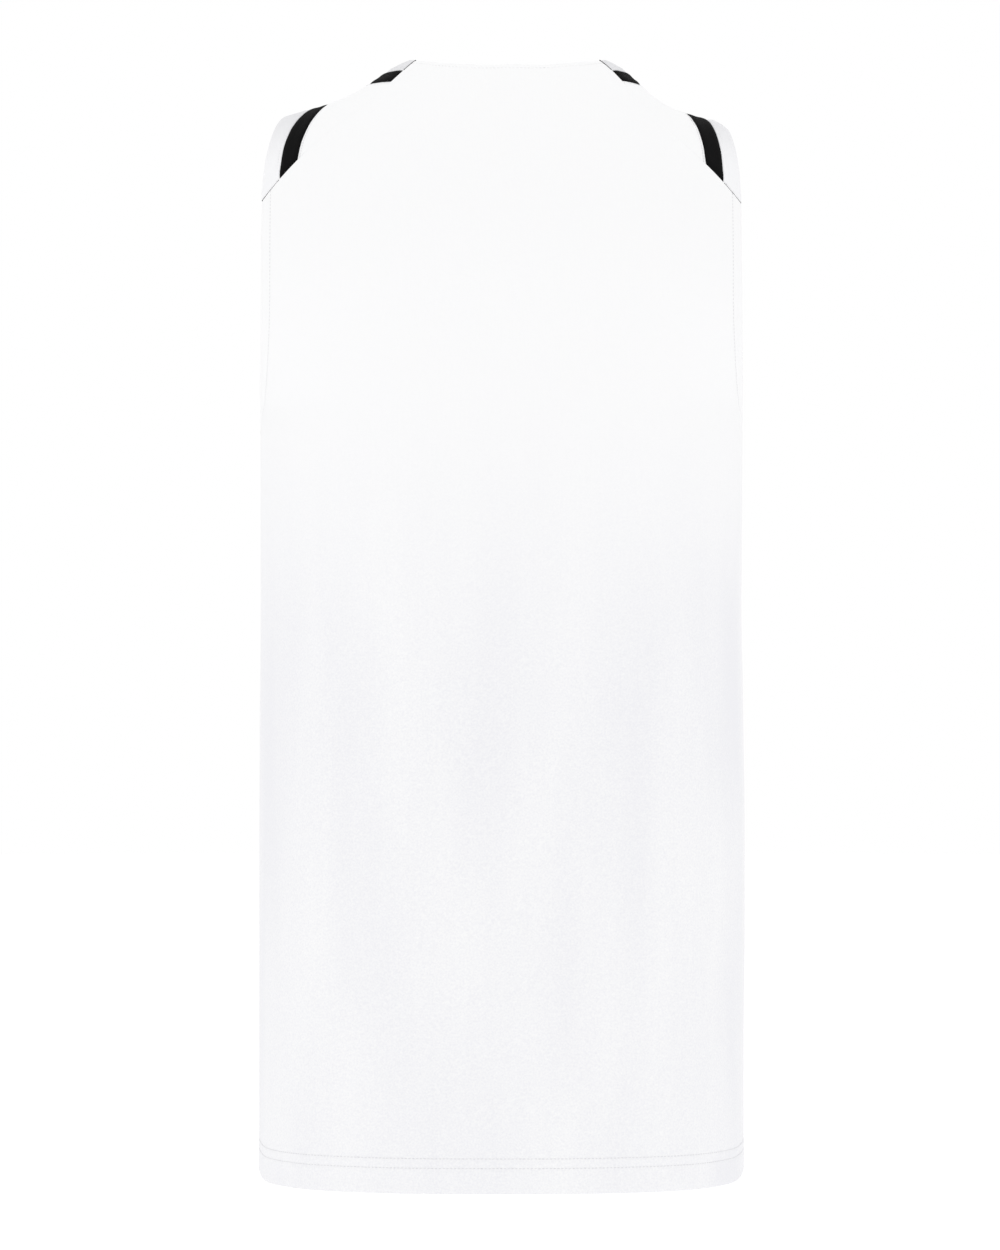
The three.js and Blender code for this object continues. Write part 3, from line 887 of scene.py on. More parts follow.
class NodeSketch:
    """Short ways to add and join nodes in one tree."""

    def __init__(self, tree: bpy.types.NodeTree) -> None:
        """Work on a tree."""
        self.tree = tree

    def add(self, kind: str, **settings: object) -> bpy.types.Node:
        """Add a node and set its properties.

        Args:
            kind: The node's type.
            **settings: Its properties by name.

        Returns:
            The node.
        """
        node = self.tree.nodes.new(kind)
        for key, value in settings.items():
            setattr(node, key, value)
        return node

    def feed(self, socket: bpy.types.NodeSocket, value: object) -> None:
        """Give a socket a link or a plain value.

        Args:
            socket: The node's input.
            value: A socket to link it to, or its value.
        """
        if isinstance(value, bpy.types.NodeSocket):
            self.tree.links.new(value, socket)
        else:
            socket.default_value = value

    def math(self, operation: str, *values: object, clamp: bool = False) -> bpy.types.NodeSocket:
        """Add a Math node.

        Args:
            operation: Its operation.
            *values: A link or a number for each input.
            clamp: Whether the result is held between 0 and 1.

        Returns:
            Its output socket.
        """
        node = self.add("ShaderNodeMath", operation=operation, use_clamp=clamp)
        for socket, value in zip(node.inputs, values):
            self.feed(socket, value)
        return node.outputs[0]

    def noise(self, place: bpy.types.NodeSocket, scale: object, detail: float) -> bpy.types.NodeSocket:
        """Add a noise texture and give its value.

        Args:
            place: Where it is read.
            scale: A link or a number for its scale.
            detail: How many finer layers it has.

        Returns:
            Its value, between 0 and 1.
        """
        node = self.add("ShaderNodeTexNoise")
        for label, value in (("Vector", place), ("Scale", scale), ("Detail", detail)):
            self.feed(node.inputs[label], value)
        return node.outputs["Fac"]

    def placed(self, group: bpy.types.NodeTree, **values: object) -> bpy.types.bpy_prop_collection:
        """Place a node group, feed its inputs and give its outputs.

        Args:
            group: The group.
            **values: A link or a number by input name, with `_` for a space.

        Returns:
            Its output sockets.
        """
        node = self.add("ShaderNodeGroup", node_tree=group)
        for label, value in values.items():
            self.feed(node.inputs[label.replace("_", " ")], value)
        return node.outputs

    def mixed_colour(
        self, share: bpy.types.NodeSocket, first: Sequence[float], second: Sequence[float]
    ) -> bpy.types.NodeSocket:
        """Add a mix of two colours and give its result.

        Args:
            share: The share of the second colour.
            first: The first colour.
            second: The second colour.

        Returns:
            The mixed colour.
        """
        node = self.add("ShaderNodeMix", data_type="RGBA")
        self.feed(node.inputs["Factor"], share)
        node.inputs[6].default_value = (*first, 1.0)
        node.inputs[7].default_value = (*second, 1.0)
        return node.outputs[2]

    def surface(self, values: dict[str, object]) -> None:
        """Feed the inputs of the tree's surface shader.

        Args:
            values: A link or a plain value by input name.
        """
        shader = self.tree.nodes["Principled BSDF"]
        for label, value in values.items():
            self.feed(shader.inputs[label], value)

    def bump(
        self, height: bpy.types.NodeSocket, distance: float, under: bpy.types.NodeSocket | None = None
    ) -> bpy.types.NodeSocket:
        """Add a Bump node, over another one's normal if there is one, and give its normal.

        Args:
            height: The height over the surface.
            distance: How many metres a height of 1 stands for.
            under: The other node's normal.

        Returns:
            The normal.
        """
        node = self.add("ShaderNodeBump")
        node.inputs["Distance"].default_value = distance
        self.feed(node.inputs["Height"], height)
        if under is not None:
            self.feed(node.inputs["Normal"], under)
        return node.outputs["Normal"]


def knit_group() -> bpy.types.NodeTree:
    """Build the fine knit: columns of slanting loops, each with a valley on both sides.

    Returns:
        A group with a Height, and a mask that is 1 between the loops, for the shade painted there into
        the colour.
    """
    loop_slant, loop_depth = 0.45, 0.22
    sizes = {"Column Width": 0.001, "Loop Height": 0.001}
    group = shader_group("fine knit", ["Place"], sizes, ["Height", "Valley"])
    sketch = NodeSketch(group)
    source, target = group.nodes["Group Input"], group.nodes["Group Output"]
    split = sketch.add("ShaderNodeSeparateXYZ")
    sketch.feed(split.inputs[0], source.outputs["Place"])
    column = sketch.math("DIVIDE", split.outputs["X"], source.outputs["Column Width"])
    course = sketch.math("DIVIDE", split.outputs["Y"], source.outputs["Loop Height"])
    within = sketch.math("SUBTRACT", sketch.math("FRACT", column), 0.5)
    from_middle = sketch.math("MULTIPLY", sketch.math("ABSOLUTE", within), 2.0)
    slant = sketch.math("MULTIPLY_ADD", from_middle, loop_slant, course)
    wave = sketch.math("SINE", sketch.math("MULTIPLY", slant, 2.0 * math.pi))
    loop = sketch.math("MULTIPLY_ADD", wave, loop_depth, 1.0 - loop_depth)
    arch = sketch.math("SUBTRACT", 1.0, sketch.math("POWER", from_middle, 2.0))
    height = sketch.math("MULTIPLY", arch, loop)
    sketch.feed(target.inputs["Height"], height)
    sketch.feed(target.inputs["Valley"], sketch.math("SUBTRACT", 1.0, height, clamp=True))
    return group


def cloth_unevenness_and_shade_group() -> bpy.types.NodeTree:
    """Build the slight unevenness of hanging cloth and the shade painted into it, from broad upright
    streaks to a fine grain.

    Returns:
        A group with a Cloud mask, a Crumple height, and a Painted Shade that is greater where the
        cloth is painted darker: painted shade in upright streaks and fold hollows, with a fine grain,
        growing from the chest down to the waist.
    """
    scales = {"Cloud": 18.0, "Crumple": 90.0, "Streak": 26.0, "Grain": 820.0}
    details = {"Cloud": 2.0, "Crumple": 3.0, "Streak": 3.0, "Grain": 1.0}
    # Stretched upright, the streaks are painted shade of the soft hanging folds.
    upright = (1.0, 1.0, 0.16)
    amounts = {
        "Low Starts": -0.17, "Low Full": -0.45, "Low": 0.5, "Streak": 0.9, "Grain": 1.5,
        "Hollow": 125.0, "Ridge Limit": 0.0006,
    }
    group = shader_group("cloth mottle", ["Place", "Weave"], amounts, ["Cloud", "Crumple", "Depth"])
    sketch = NodeSketch(group)
    given, target = group.nodes["Group Input"].outputs, group.nodes["Group Output"]
    drawn = sketch.add("ShaderNodeVectorMath", operation="MULTIPLY")
    sketch.feed(drawn.inputs[0], given["Place"])
    drawn.inputs[1].default_value = upright
    fields = {}
    for name, scale in scales.items():
        place = drawn.outputs[0] if name == "Streak" else given["Place"]
        fields[name] = sketch.noise(place, scale, details[name])
    streaked, grained = (
        sketch.math("MULTIPLY", sketch.math("SUBTRACT", fields[name], 0.5), given[name])
        for name in ("Streak", "Grain")
    )
    # Painted shade in the fold troughs, and a little painted light on the ridges up to Ridge Limit, from
    # the folds' lift in the weave's z.
    laid = sketch.add("ShaderNodeSeparateXYZ")
    sketch.feed(laid.inputs[0], given["Weave"])
    lifted = sketch.math("MINIMUM", laid.outputs["Z"], given["Ridge Limit"])
    folded = sketch.math("SUBTRACT", given["Low"], sketch.math("MULTIPLY", lifted, given["Hollow"]))
    uneven_and_shaded = sketch.math("ADD", sketch.math("ADD", streaked, grained), folded)
    split = sketch.add("ShaderNodeSeparateXYZ")
    sketch.feed(split.inputs[0], given["Place"])
    # The painted shade grows between the Low Starts and Low Full heights.
    low = sketch.add("ShaderNodeMapRange", interpolation_type="SMOOTHSTEP")
    sketch.feed(low.inputs["Value"], split.outputs["Z"])
    sketch.feed(low.inputs["From Min"], given["Low Starts"])
    sketch.feed(low.inputs["From Max"], given["Low Full"])
    sketch.feed(target.inputs["Cloud"], fields["Cloud"])
    sketch.feed(target.inputs["Crumple"], fields["Crumple"])
    sketch.feed(target.inputs["Depth"], sketch.math("MULTIPLY", uneven_and_shaded, low.outputs["Result"]))
    return group


def twisted_thread_group() -> bpy.types.NodeTree:
    """Build the fine strands of sewing thread.

    Returns:
        A group with a Strands mask, which is also the height of the strands.
    """
    group = shader_group("twisted thread", ["Place"], {"Scale": 1800.0}, ["Strands"])
    sketch = NodeSketch(group)
    given = group.nodes["Group Input"].outputs
    strands = sketch.noise(given["Place"], given["Scale"], 2.0)
    sketch.feed(group.nodes["Group Output"].inputs["Strands"], strands)
    return group


@dataclass(frozen=True)
class KnitFinish:
    """A matt polyester knit, with shade painted into its colour. Lengths are in metres."""

    name: str
    colour: tuple[float, float, float]
    painted_shade_colour: tuple[float, float, float]
    roughness: tuple[float, float]
    specular: float
    sheen: float
    column_width: float = 0.0008
    loop_height: float = 0.00065
    relief: float = 0.00004
    crumple: float = 0.00022
    # Amounts of the painted shade: low on the body, in upright fold streaks, with a grain, in fold
    # hollows up to the ridges' limit, and between the loops; shade gives the heights between which it
    # grows.
    low: float = 0.5
    streak: float = 0.9
    grain: float = 1.5
    hollow: float = 125.0
    ridge_limit: float = 0.0006
    valley_shade_share: float = 0.2
    shade: tuple[float, float] = (-0.17, -0.45)

    def material(self, knit: bpy.types.NodeTree, unevenness_and_shade: bpy.types.NodeTree) -> bpy.types.Material:
        """Build the material.

        Args:
            knit: The group that draws the loops.
            unevenness_and_shade: The group of the cloth's unevenness and its painted shade.

        Returns:
            The material.
        """
        material, sketch = new_material(self.name)
        weave = sketch.add("ShaderNodeAttribute", attribute_name="weave").outputs["Vector"]
        place = sketch.add("ShaderNodeTexCoord").outputs["Object"]
        loops = sketch.placed(
            knit, Place=weave, Column_Width=self.column_width, Loop_Height=self.loop_height
        )
        uneven_and_shaded = sketch.placed(
            unevenness_and_shade, Place=place, Weave=weave, Low_Starts=self.shade[0], Low_Full=self.shade[1],
            Low=self.low, Streak=self.streak, Grain=self.grain, Hollow=self.hollow,
            Ridge_Limit=self.ridge_limit,
        )
        # Painted shade: the colour darkens between the loops, in upright fold streaks and troughs, with
        # a grain, and low on the body (towards the shoulder tops for the binding).
        depth = sketch.math(
            "MULTIPLY_ADD", loops["Valley"], self.valley_shade_share, uneven_and_shaded["Depth"], clamp=True
        )
        rough = sketch.add("ShaderNodeMapRange")
        for label, value in zip(("Value", "To Min", "To Max"), (uneven_and_shaded["Cloud"], *self.roughness)):
            sketch.feed(rough.inputs[label], value)
        soft = sketch.bump(uneven_and_shaded["Crumple"], self.crumple)
        sketch.surface({
            "Base Color": sketch.mixed_colour(depth, self.colour, self.painted_shade_colour),
            "Roughness": rough.outputs["Result"],
            "Specular IOR Level": self.specular,
            "Sheen Weight": self.sheen,
            "Sheen Roughness": 0.5,
            "Normal": sketch.bump(loops["Height"], self.relief, under=soft),
        })
        return material


@dataclass(frozen=True)
class ThreadFinish:
    """Twisted polyester sewing thread."""

    name: str
    colour: tuple[float, float, float]
    dark_colour: tuple[float, float, float]
    roughness: float
    specular: float = 0.3
    relief: float = 0.00008

    def material(self, twist: bpy.types.NodeTree) -> bpy.types.Material:
        """Build the material, with fine strands that vary its colour and relief.

        Args:
            twist: The group that draws the strands.

        Returns:
            The material.
        """
        material, sketch = new_material(self.name)
        place = sketch.add("ShaderNodeTexCoord").outputs["Object"]
        strands = sketch.placed(twist, Place=place)["Strands"]
        sketch.surface({
            "Base Color": sketch.mixed_colour(strands, self.colour, self.dark_colour),
            "Roughness": self.roughness,
            "Specular IOR Level": self.specular,
            "Normal": sketch.bump(strands, self.relief),
        })
        return material


# Each knit's second colour is the colour of its painted shade.
WHITE_KNIT = KnitFinish(
    "white knit", (0.923, 0.923, 0.924), (0.83, 0.83, 0.857), (0.74, 0.88), 0.2, 0.04
)
BLACK_KNIT = KnitFinish(
    "black knit", (0.0048, 0.0048, 0.005), (0.0024, 0.0024, 0.0026), (0.78, 0.88), 0.05, 0.0
)
# The bindings' knit, with painted shade that grows between heights of -0.075 m and -0.02 m, towards the
# shoulder tops.
WHITE_BINDING_TOP_SHADED = KnitFinish(
    "white binding knit", (0.924, 0.924, 0.936), (0.62, 0.62, 0.64), (0.7, 0.84), 0.2, 0.04,
    low=0.5, streak=0.3, grain=0.25, hollow=0.0, shade=(-0.075, -0.02),
)
# This white sewing thread is greyed with painted shade, so its rows read as shadowed stitch lines; the
# pale thread keeps near the cloth's white.
SHADE_GREYED_WHITE_THREAD = ThreadFinish("white thread", (0.86, 0.86, 0.87), (0.62, 0.62, 0.64), 0.5)
PALE_THREAD = ThreadFinish("pale thread", (0.93, 0.93, 0.93), (0.87, 0.87, 0.875), 0.6)
BLACK_THREAD = ThreadFinish("black thread", (0.006, 0.006, 0.006), (0.002, 0.002, 0.002), 0.7)


@dataclass(frozen=True)
class Cut:
    """The flat piece of cloth that a maker cuts, in metres and square metres."""

    width: float
    length: float
    area: float


@dataclass
class Relief:
    """How sewing shapes the cloth's two faces. Sizes are in millimetres."""

    form: JerseyForm
    valley: float = 0.55
    valley_width: float = 0.8
    puff: float = 0.28
    puff_away: float = 3.2
    puff_width: float = 2.0
    groove: float = 0.3
    groove_width: float = 0.75
    swell_share: float = 0.35
    swell_away: float = 2.2
    swell_width: float = 1.2
    edge_round: float = 0.4
    edge_width: float = 0.9
    slack_pull: float = 0.4
    underarm_pull: float = 1.6
    pull_drop: tuple[float, float] = (120.0, 175.0)
    pucker_height: float = 0.16
    hem_lines: tuple[float, float] = (16.0, 22.0)
    hem_doubled: float = 0.25
    hem_turn: tuple[float, float] = (20.5, 24.5)
    hem_pucker: tuple[float, float] = (19.0, 9.0)

    def side_distance(self, places: Grid) -> np.ndarray:
        """Give the distance of places from the side seam, or FAR above the underarm.

        Args:
            places: Where.

        Returns:
            The distances.
        """
        away = (1.0 - np.abs(places[..., 0])) * self.form.ring.length
        low = np.abs(places[..., 1]) >= self.form.underarm_over - 1.0
        return np.where(low, away, FAR)

    def seam_distance(self, places: Grid) -> np.ndarray:
        """Give the distance of places from the shoulder seam."""
        away = np.abs(self.form.above_seam(places))
        return np.where(places[..., 1] < 0.0, away, FAR)

    def hem_distance(self, places: Grid) -> np.ndarray:
        """Give the height of places above the hem."""
        return self.form.height(places) + self.form.body_length

    def seam(self, distance: np.ndarray) -> np.ndarray:
        """Give the dip at a seam and the slight swell beside it."""
        swell = self.puff * bump(distance, self.puff_away, self.puff_width)
        return swell - self.valley * bump(distance, 0.0, self.valley_width)

    def edge_pull(self, places: Grid) -> np.ndarray:
        """Give how hard a turned edge's stitches pull, which grows towards the underarm."""
        grown = smoothstep(-self.form.height(places), *self.pull_drop)
        return self.slack_pull + self.underarm_pull * grown

    def stitched(self, distance: np.ndarray, lines: Sequence[float]) -> np.ndarray:
        """Give the grooves that rows of stitches press into the cloth.

        Args:
            distance: Distances from the edge.
            lines: The distances of the rows from it.

        Returns:
            The lift, negative in a groove.
        """
        depth = np.zeros_like(distance)
        for line in lines:
            depth -= self.groove * bump(distance, line, self.groove_width)
            swell = bump(distance, line - self.swell_away, self.swell_width)
            depth += self.swell_share * self.groove * swell
        return depth

    def rounded(self, distance: np.ndarray) -> np.ndarray:
        """Give the fall of a face towards a folded edge."""
        return -self.edge_round * bump(distance, 0.0, self.edge_width)

    def pucker(self, places: Grid, distance: np.ndarray, reach: float) -> np.ndarray:
        """Give the small waves that a row of sewing gathers in the cloth beside it.

        Args:
            places: Where.
            distance: Their distances from the sewing.
            reach: How far the waves spread from it.

        Returns:
            The lift.
        """
        along = places[..., 0] * self.form.ring.length + 0.35 * places[..., 1]
        wave = np.sin(along / 2.9) * np.sin(along / 7.3 + 1.1) + 0.5 * np.sin(along / 4.6 + 0.4)
        return self.pucker_height * wave * bump(distance, 0.0, reach)

    def hem(self, places: Grid) -> np.ndarray:
        """Give the outer face's form over the turned hem.

        Args:
            places: Where.

        Returns:
            The lift.
        """
        up = self.hem_distance(places)
        doubled = self.hem_doubled * (1.0 - smoothstep(up, *self.hem_turn))
        shape = doubled + self.stitched(up, self.hem_lines) + self.rounded(up)
        middle, reach = self.hem_pucker
        return shape + self.pucker(places, up - middle, reach)


def stitch_template() -> tuple[np.ndarray, list[list[int]]]:
    """Make one stitch: a short thread that dives into the cloth at both ends.

    Returns:
        Its points as (along, sideways, up), one unit long and one unit in radius, and its faces.
    """
    along = (-0.5, -0.32, 0.0, 0.32, 0.5)
    lift = (-1.5, 0.25, 0.7, 0.25, -1.5)
    radius = (0.7, 1.0, 1.05, 1.0, 0.7)
    sides = 6
    points = []
    for u, up, r in zip(along, lift, radius):
        for k in range(sides):
            angle = 2.0 * math.pi * k / sides
            points.append((u, r * math.cos(angle), up + r * math.sin(angle)))
    faces = []
    for ring in range(len(along) - 1):
        for k in range(sides):
            a, b = ring * sides + k, ring * sides + (k + 1) % sides
            faces.append([a, b, b + sides, a + sides])
    faces.append(list(range(sides))[::-1])
    faces.append([(len(along) - 1) * sides + k for k in range(sides)])
    return np.array(points), faces


@dataclass
class StitchRow:
    """A row of equal stitches along a line on the cloth. Sizes are in millimetres."""

    points: np.ndarray
    normals: np.ndarray
    pitch: float = 2.4
    length: float = 1.75
    radius: float = 0.2
    turned: float = 0.0

    def build(self) -> tuple[np.ndarray, list[list[int]]]:
        """Lay the stitches.

        Returns:
            The points and faces of them all.
        """
        reach = lengths_along(self.points)
        count = max(1, int(reach[-1] / self.pitch))
        at = (np.arange(count) + 0.5) * reach[-1] / count
        centre = read_table(self.points, reach, at)
        before, after = (read_table(self.points, reach, at + step) for step in (-0.6, 0.6))
        ahead = after - before
        normal = unit(read_table(self.normals, reach, at))
        tangent = unit(ahead - normal * (ahead * normal).sum(-1, keepdims=True))
        sideways = np.cross(normal, tangent)
        turn = math.radians(self.turned)
        tangent, sideways = (
            tangent * math.cos(turn) + sideways * math.sin(turn),
            sideways * math.cos(turn) - tangent * math.sin(turn),
        )
        template, template_faces = stitch_template()
        along = template[:, 0] * self.length
        side, up = template[:, 1] * self.radius, template[:, 2] * self.radius
        points = (
            centre[:, None]
            + tangent[:, None] * along[None, :, None]
            + sideways[:, None] * side[None, :, None]
            + normal[:, None] * up[None, :, None]
        )
        size = len(template)
        faces = [[corner + k * size for corner in face] for k in range(count) for face in template_faces]
        return points.reshape(-1, 3), faces


def sew(name: str, rows: Sequence[StitchRow]) -> bpy.types.Object:
    """Join rows of stitches into one mesh object.

    Args:
        name: The piece's name.
        rows: The rows.

    Returns:
        The new object.
    """
    points: list[np.ndarray] = []
    faces: list[list[int]] = []
    start = 0
    for row in rows:
        row_points, row_faces = row.build()
        faces.extend([corner + start for corner in face] for face in row_faces)
        points.append(row_points)
        start += len(row_points)
    return mesh_object(name, np.concatenate(points), faces)


class Workshop:
    """What every sub-assembly shares: the form, the relief of its sewing and the finishes."""

    def __init__(self) -> None:
        """Set out the form and mix the finishes."""
        self.form = JerseyForm()
        self.relief = Relief(self.form)
        knit, unevenness_and_shade, twist = knit_group(), cloth_unevenness_and_shade_group(), twisted_thread_group()
        self.cloth = {
            Slot.WHITE: WHITE_KNIT.material(knit, unevenness_and_shade),
            Slot.BLACK: BLACK_KNIT.material(knit, unevenness_and_shade),
        }
        # The bindings' knit has painted shade towards the shoulder tops.
        self.binding = WHITE_BINDING_TOP_SHADED.material(knit, unevenness_and_shade)
        self.thread = {
            # The white sewing thread's grey is painted shade.
            Slot.WHITE: SHADE_GREYED_WHITE_THREAD.material(twist),
            Slot.BLACK: BLACK_THREAD.material(twist),
        }
        self.neck_thread = PALE_THREAD.material(twist)

    def dress(self, piece: bpy.types.Object, slot: Slot, material: bpy.types.Material) -> None:
        """Give a piece its material and its body, and report it.

        Args:
            piece: The piece.
            slot: The slot for it; not used.
            material: Its material.
        """
        piece.data.materials.append(material)
        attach(piece, "root")
        log.info("%s: %d faces", piece.name, len(piece.data.polygons))

    def surface(
        self, places: Grid, lift: Callable[[Grid], np.ndarray] | None = None, inside: bool = False
    ) -> tuple[np.ndarray, np.ndarray]:
        """Give points and normals on a face of the cloth.

        Args:
            places: Where.
            lift: Gives how far the face stands off its usual distance there.
            inside: Whether it is the inner face.

        Returns:
            The points, and the directions away from the cloth.
        """
        sign = -1.0 if inside else 1.0
        outward = self.form.outward(places)
        off = self.form.wall / 2.0 + (0.0 if lift is None else lift(places))
        off = np.broadcast_to(off, outward.shape[:-1])
        return self.form.cloth_point(places) + sign * outward * off[..., None], sign * outward


def refined_end(rows: Grid, axis: int) -> Grid:
    """Add lines close to a grid's last line, so that the dip at a seam is smooth.

    Args:
        rows: The grid of places.
        axis: The direction whose end is refined.

    Returns:
        The finer grid.
    """
    moved = np.moveaxis(rows, axis, 0)
    extra = [mix(moved[-2], moved[-1], share) for share in (0.35, 0.62, 0.82, 0.94)]
    return np.moveaxis(np.concatenate([moved[:-1], np.stack(extra), moved[-1:]]), 0, axis)


@dataclass
class BodyPanel:
    """The back or front of the body, with bands along its openings. Sizes in millimetres."""

    shop: Workshop
    face: Face
    neck_insets: tuple[float, ...]
    arm_insets: tuple[float, ...]
    neck_start: float
    arm_start: float
    neck_lines: tuple[float, ...]
    arm_lines: tuple[float, ...]
    cut: Cut
    shoulder_relief: float = 0.1
    columns: int = 42
    row_step: float = 6.5
    yoke_rows: int = 30
    neck_stations: int = 24
    hem_rows: tuple[float, ...] = (
        0, 0.5, 1.2, 2.4, 5, 9, 12.5, 14.2, 15.2, 16, 16.8, 19, 21.2, 22, 22.8, 23.6, 24.8, 27,
    )
    side_rows: tuple[float, ...] = (2.6, 1.5, 0.8, 0.35)
    pucker_reach: float = 7.0

    @property
    def name(self) -> str:
        """Give the node that the panel stands for."""
        return "back_panel" if self.face is Face.BACK else "front_panel"

    def heights(self, top: float) -> np.ndarray:
        """Give level heights from the hem up, close together where the hem is shaped.

        Args:
            top: The height of the last row.

        Returns:
            The heights.
        """
        base = -self.shop.form.body_length
        hem_top = self.hem_rows[-1]
        rows = int((top - base - hem_top) / self.row_step)
        hem = base + np.array(self.hem_rows[:-1])
        return np.concatenate([hem, np.linspace(base + hem_top, top, rows)])

    def shares(self) -> np.ndarray:
        """Give the shares of a row at which its columns stand, closer at the side.

        Returns:
            The shares, from 0 at the centre to 1 at the side.
        """
        even = np.linspace(0.0, 1.0, self.columns + 1)
        near = 1.0 - np.array(self.side_rows) / self.shop.form.ring.length
        return np.concatenate([even[:-1], near, even[-1:]])

    def main_rows(self, armhole: Opening) -> Grid:
        """Give the rows of places between the bands, from the hem up to the shoulder seam.

        Args:
            armhole: The armhole on that side.

        Returns:
            The rows, for the +X side.
        """
        form, face = self.shop.form, self.face
        neck = form.line_around(form.neck, self.neck_insets[-1], self.neck_stations, face)
        arm_stations = self.yoke_rows + self.neck_stations
        arm = form.line_around(armhole, self.arm_insets[-1], arm_stations, face)
        measured = form.line_around(form.armholes[Side.LEFT], self.arm_insets[-1], arm_stations, face)
        arm_z = float(form.height(measured[:1])[0])
        neck_z = float(form.height(neck[:1])[0])
        heights = self.heights(arm_z)
        yoke = np.linspace(arm_z, neck_z, self.yoke_rows + 1)[1:-1]
        centre = form.place_from_height(0.0, np.concatenate([heights, yoke]), face)
        inner = np.concatenate([centre * np.array([0.0, 1.0]), neck])
        side = np.array([form.level(z, face, form.side_edge) for z in heights[:-1]])
        outer = np.concatenate([side, arm])
        shares = self.shares()
        seam = form.seam_line(inner[-1], outer[-1], shares)
        last = len(inner) - 1
        t = shares[None, :, None]
        rows = mix(inner[:, None], outer[:, None], t)
        straight = mix(inner[-1][None], outer[-1][None], shares[:, None])
        bend = smoothstep(np.arange(last + 1), last - arm_stations, last)
        return rows + (seam - straight)[None] * bend[:, None, None]

    def band(self, opening: Opening, insets: tuple[float, ...], stations: int) -> Grid:
        """Give the lines of a band along an opening, nearest the edge first."""
        form = self.shop.form
        return np.stack([form.line_around(opening, inset, stations, self.face) for inset in insets])

    def outer(self, places: Grid, inset: np.ndarray) -> np.ndarray:
        """Give the outer face's distance from the middle of the cloth.

        Args:
            places: Where.
            inset: Their distances from the neck's edge, or FAR more than from the armhole's.

        Returns:
            The distances.
        """
        relief, form = self.shop.relief, self.shop.form
        off = form.wall / 2.0 + relief.hem(places) + relief.seam(relief.side_distance(places))
        off = off + self.shoulder_relief * relief.seam(relief.seam_distance(places))
        arm = inset >= FAR / 2.0
        neck_away = np.where(arm, FAR, inset)
        arm_away = np.where(arm, inset - FAR, FAR)
        for away, start, lines in (
            (neck_away, self.neck_start, self.neck_lines),
            (arm_away, self.arm_start, self.arm_lines),
        ):
            pull = 1.0 if start else relief.edge_pull(places)
            off = off + pull * relief.stitched(away, lines)
            off = off + relief.pucker(places, away - start, self.pucker_reach)
            off = off + (relief.seam(away - start) if start else relief.rounded(away))
        return off

    def inner(self, places: Grid, inset: np.ndarray) -> np.ndarray:
        """Give the inner face's distance from the middle, thicker where the hem is turned up.

        Args:
            places: Where.
            inset: Their insets, which make no difference here.

        Returns:
            The distances.
        """
        form, relief = self.shop.form, self.shop.relief
        up = relief.hem_distance(places)
        doubled = 1.0 - smoothstep(up, form.hem_height - 0.8, form.hem_height + 0.8)
        return form.wall / 2.0 + (form.hem_wall - form.wall) * doubled + relief.rounded(up)

    def build(self) -> bpy.types.Object:
        """Build and dress the panel.

        Returns:
            The panel's cloth.
        """
        form = self.shop.form
        sheet = ClothSheet(form)
        neck = refined_end(self.band(form.neck, self.neck_insets, self.neck_stations), 1)
        arm_stations = self.yoke_rows + self.neck_stations
        for side, armhole in form.armholes.items():
            rows = refined_end(self.main_rows(armhole), 0)
            arm = refined_end(self.band(armhole, self.arm_insets, arm_stations), 1)
            sheet.add_on(side, rows, np.array(FAR / 2.0 - 1.0))
            sheet.add_on(side, neck, np.array(self.neck_insets)[:, None])
            sheet.add_on(side, arm, FAR + np.array(self.arm_insets)[:, None])
        piece = sheet.wall(f"{self.name}_cloth", self.outer, self.inner, 0.15)
        self.shop.dress(piece, Slot.WHITE, self.shop.cloth[Slot.WHITE])
        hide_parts(self.name)
        return piece


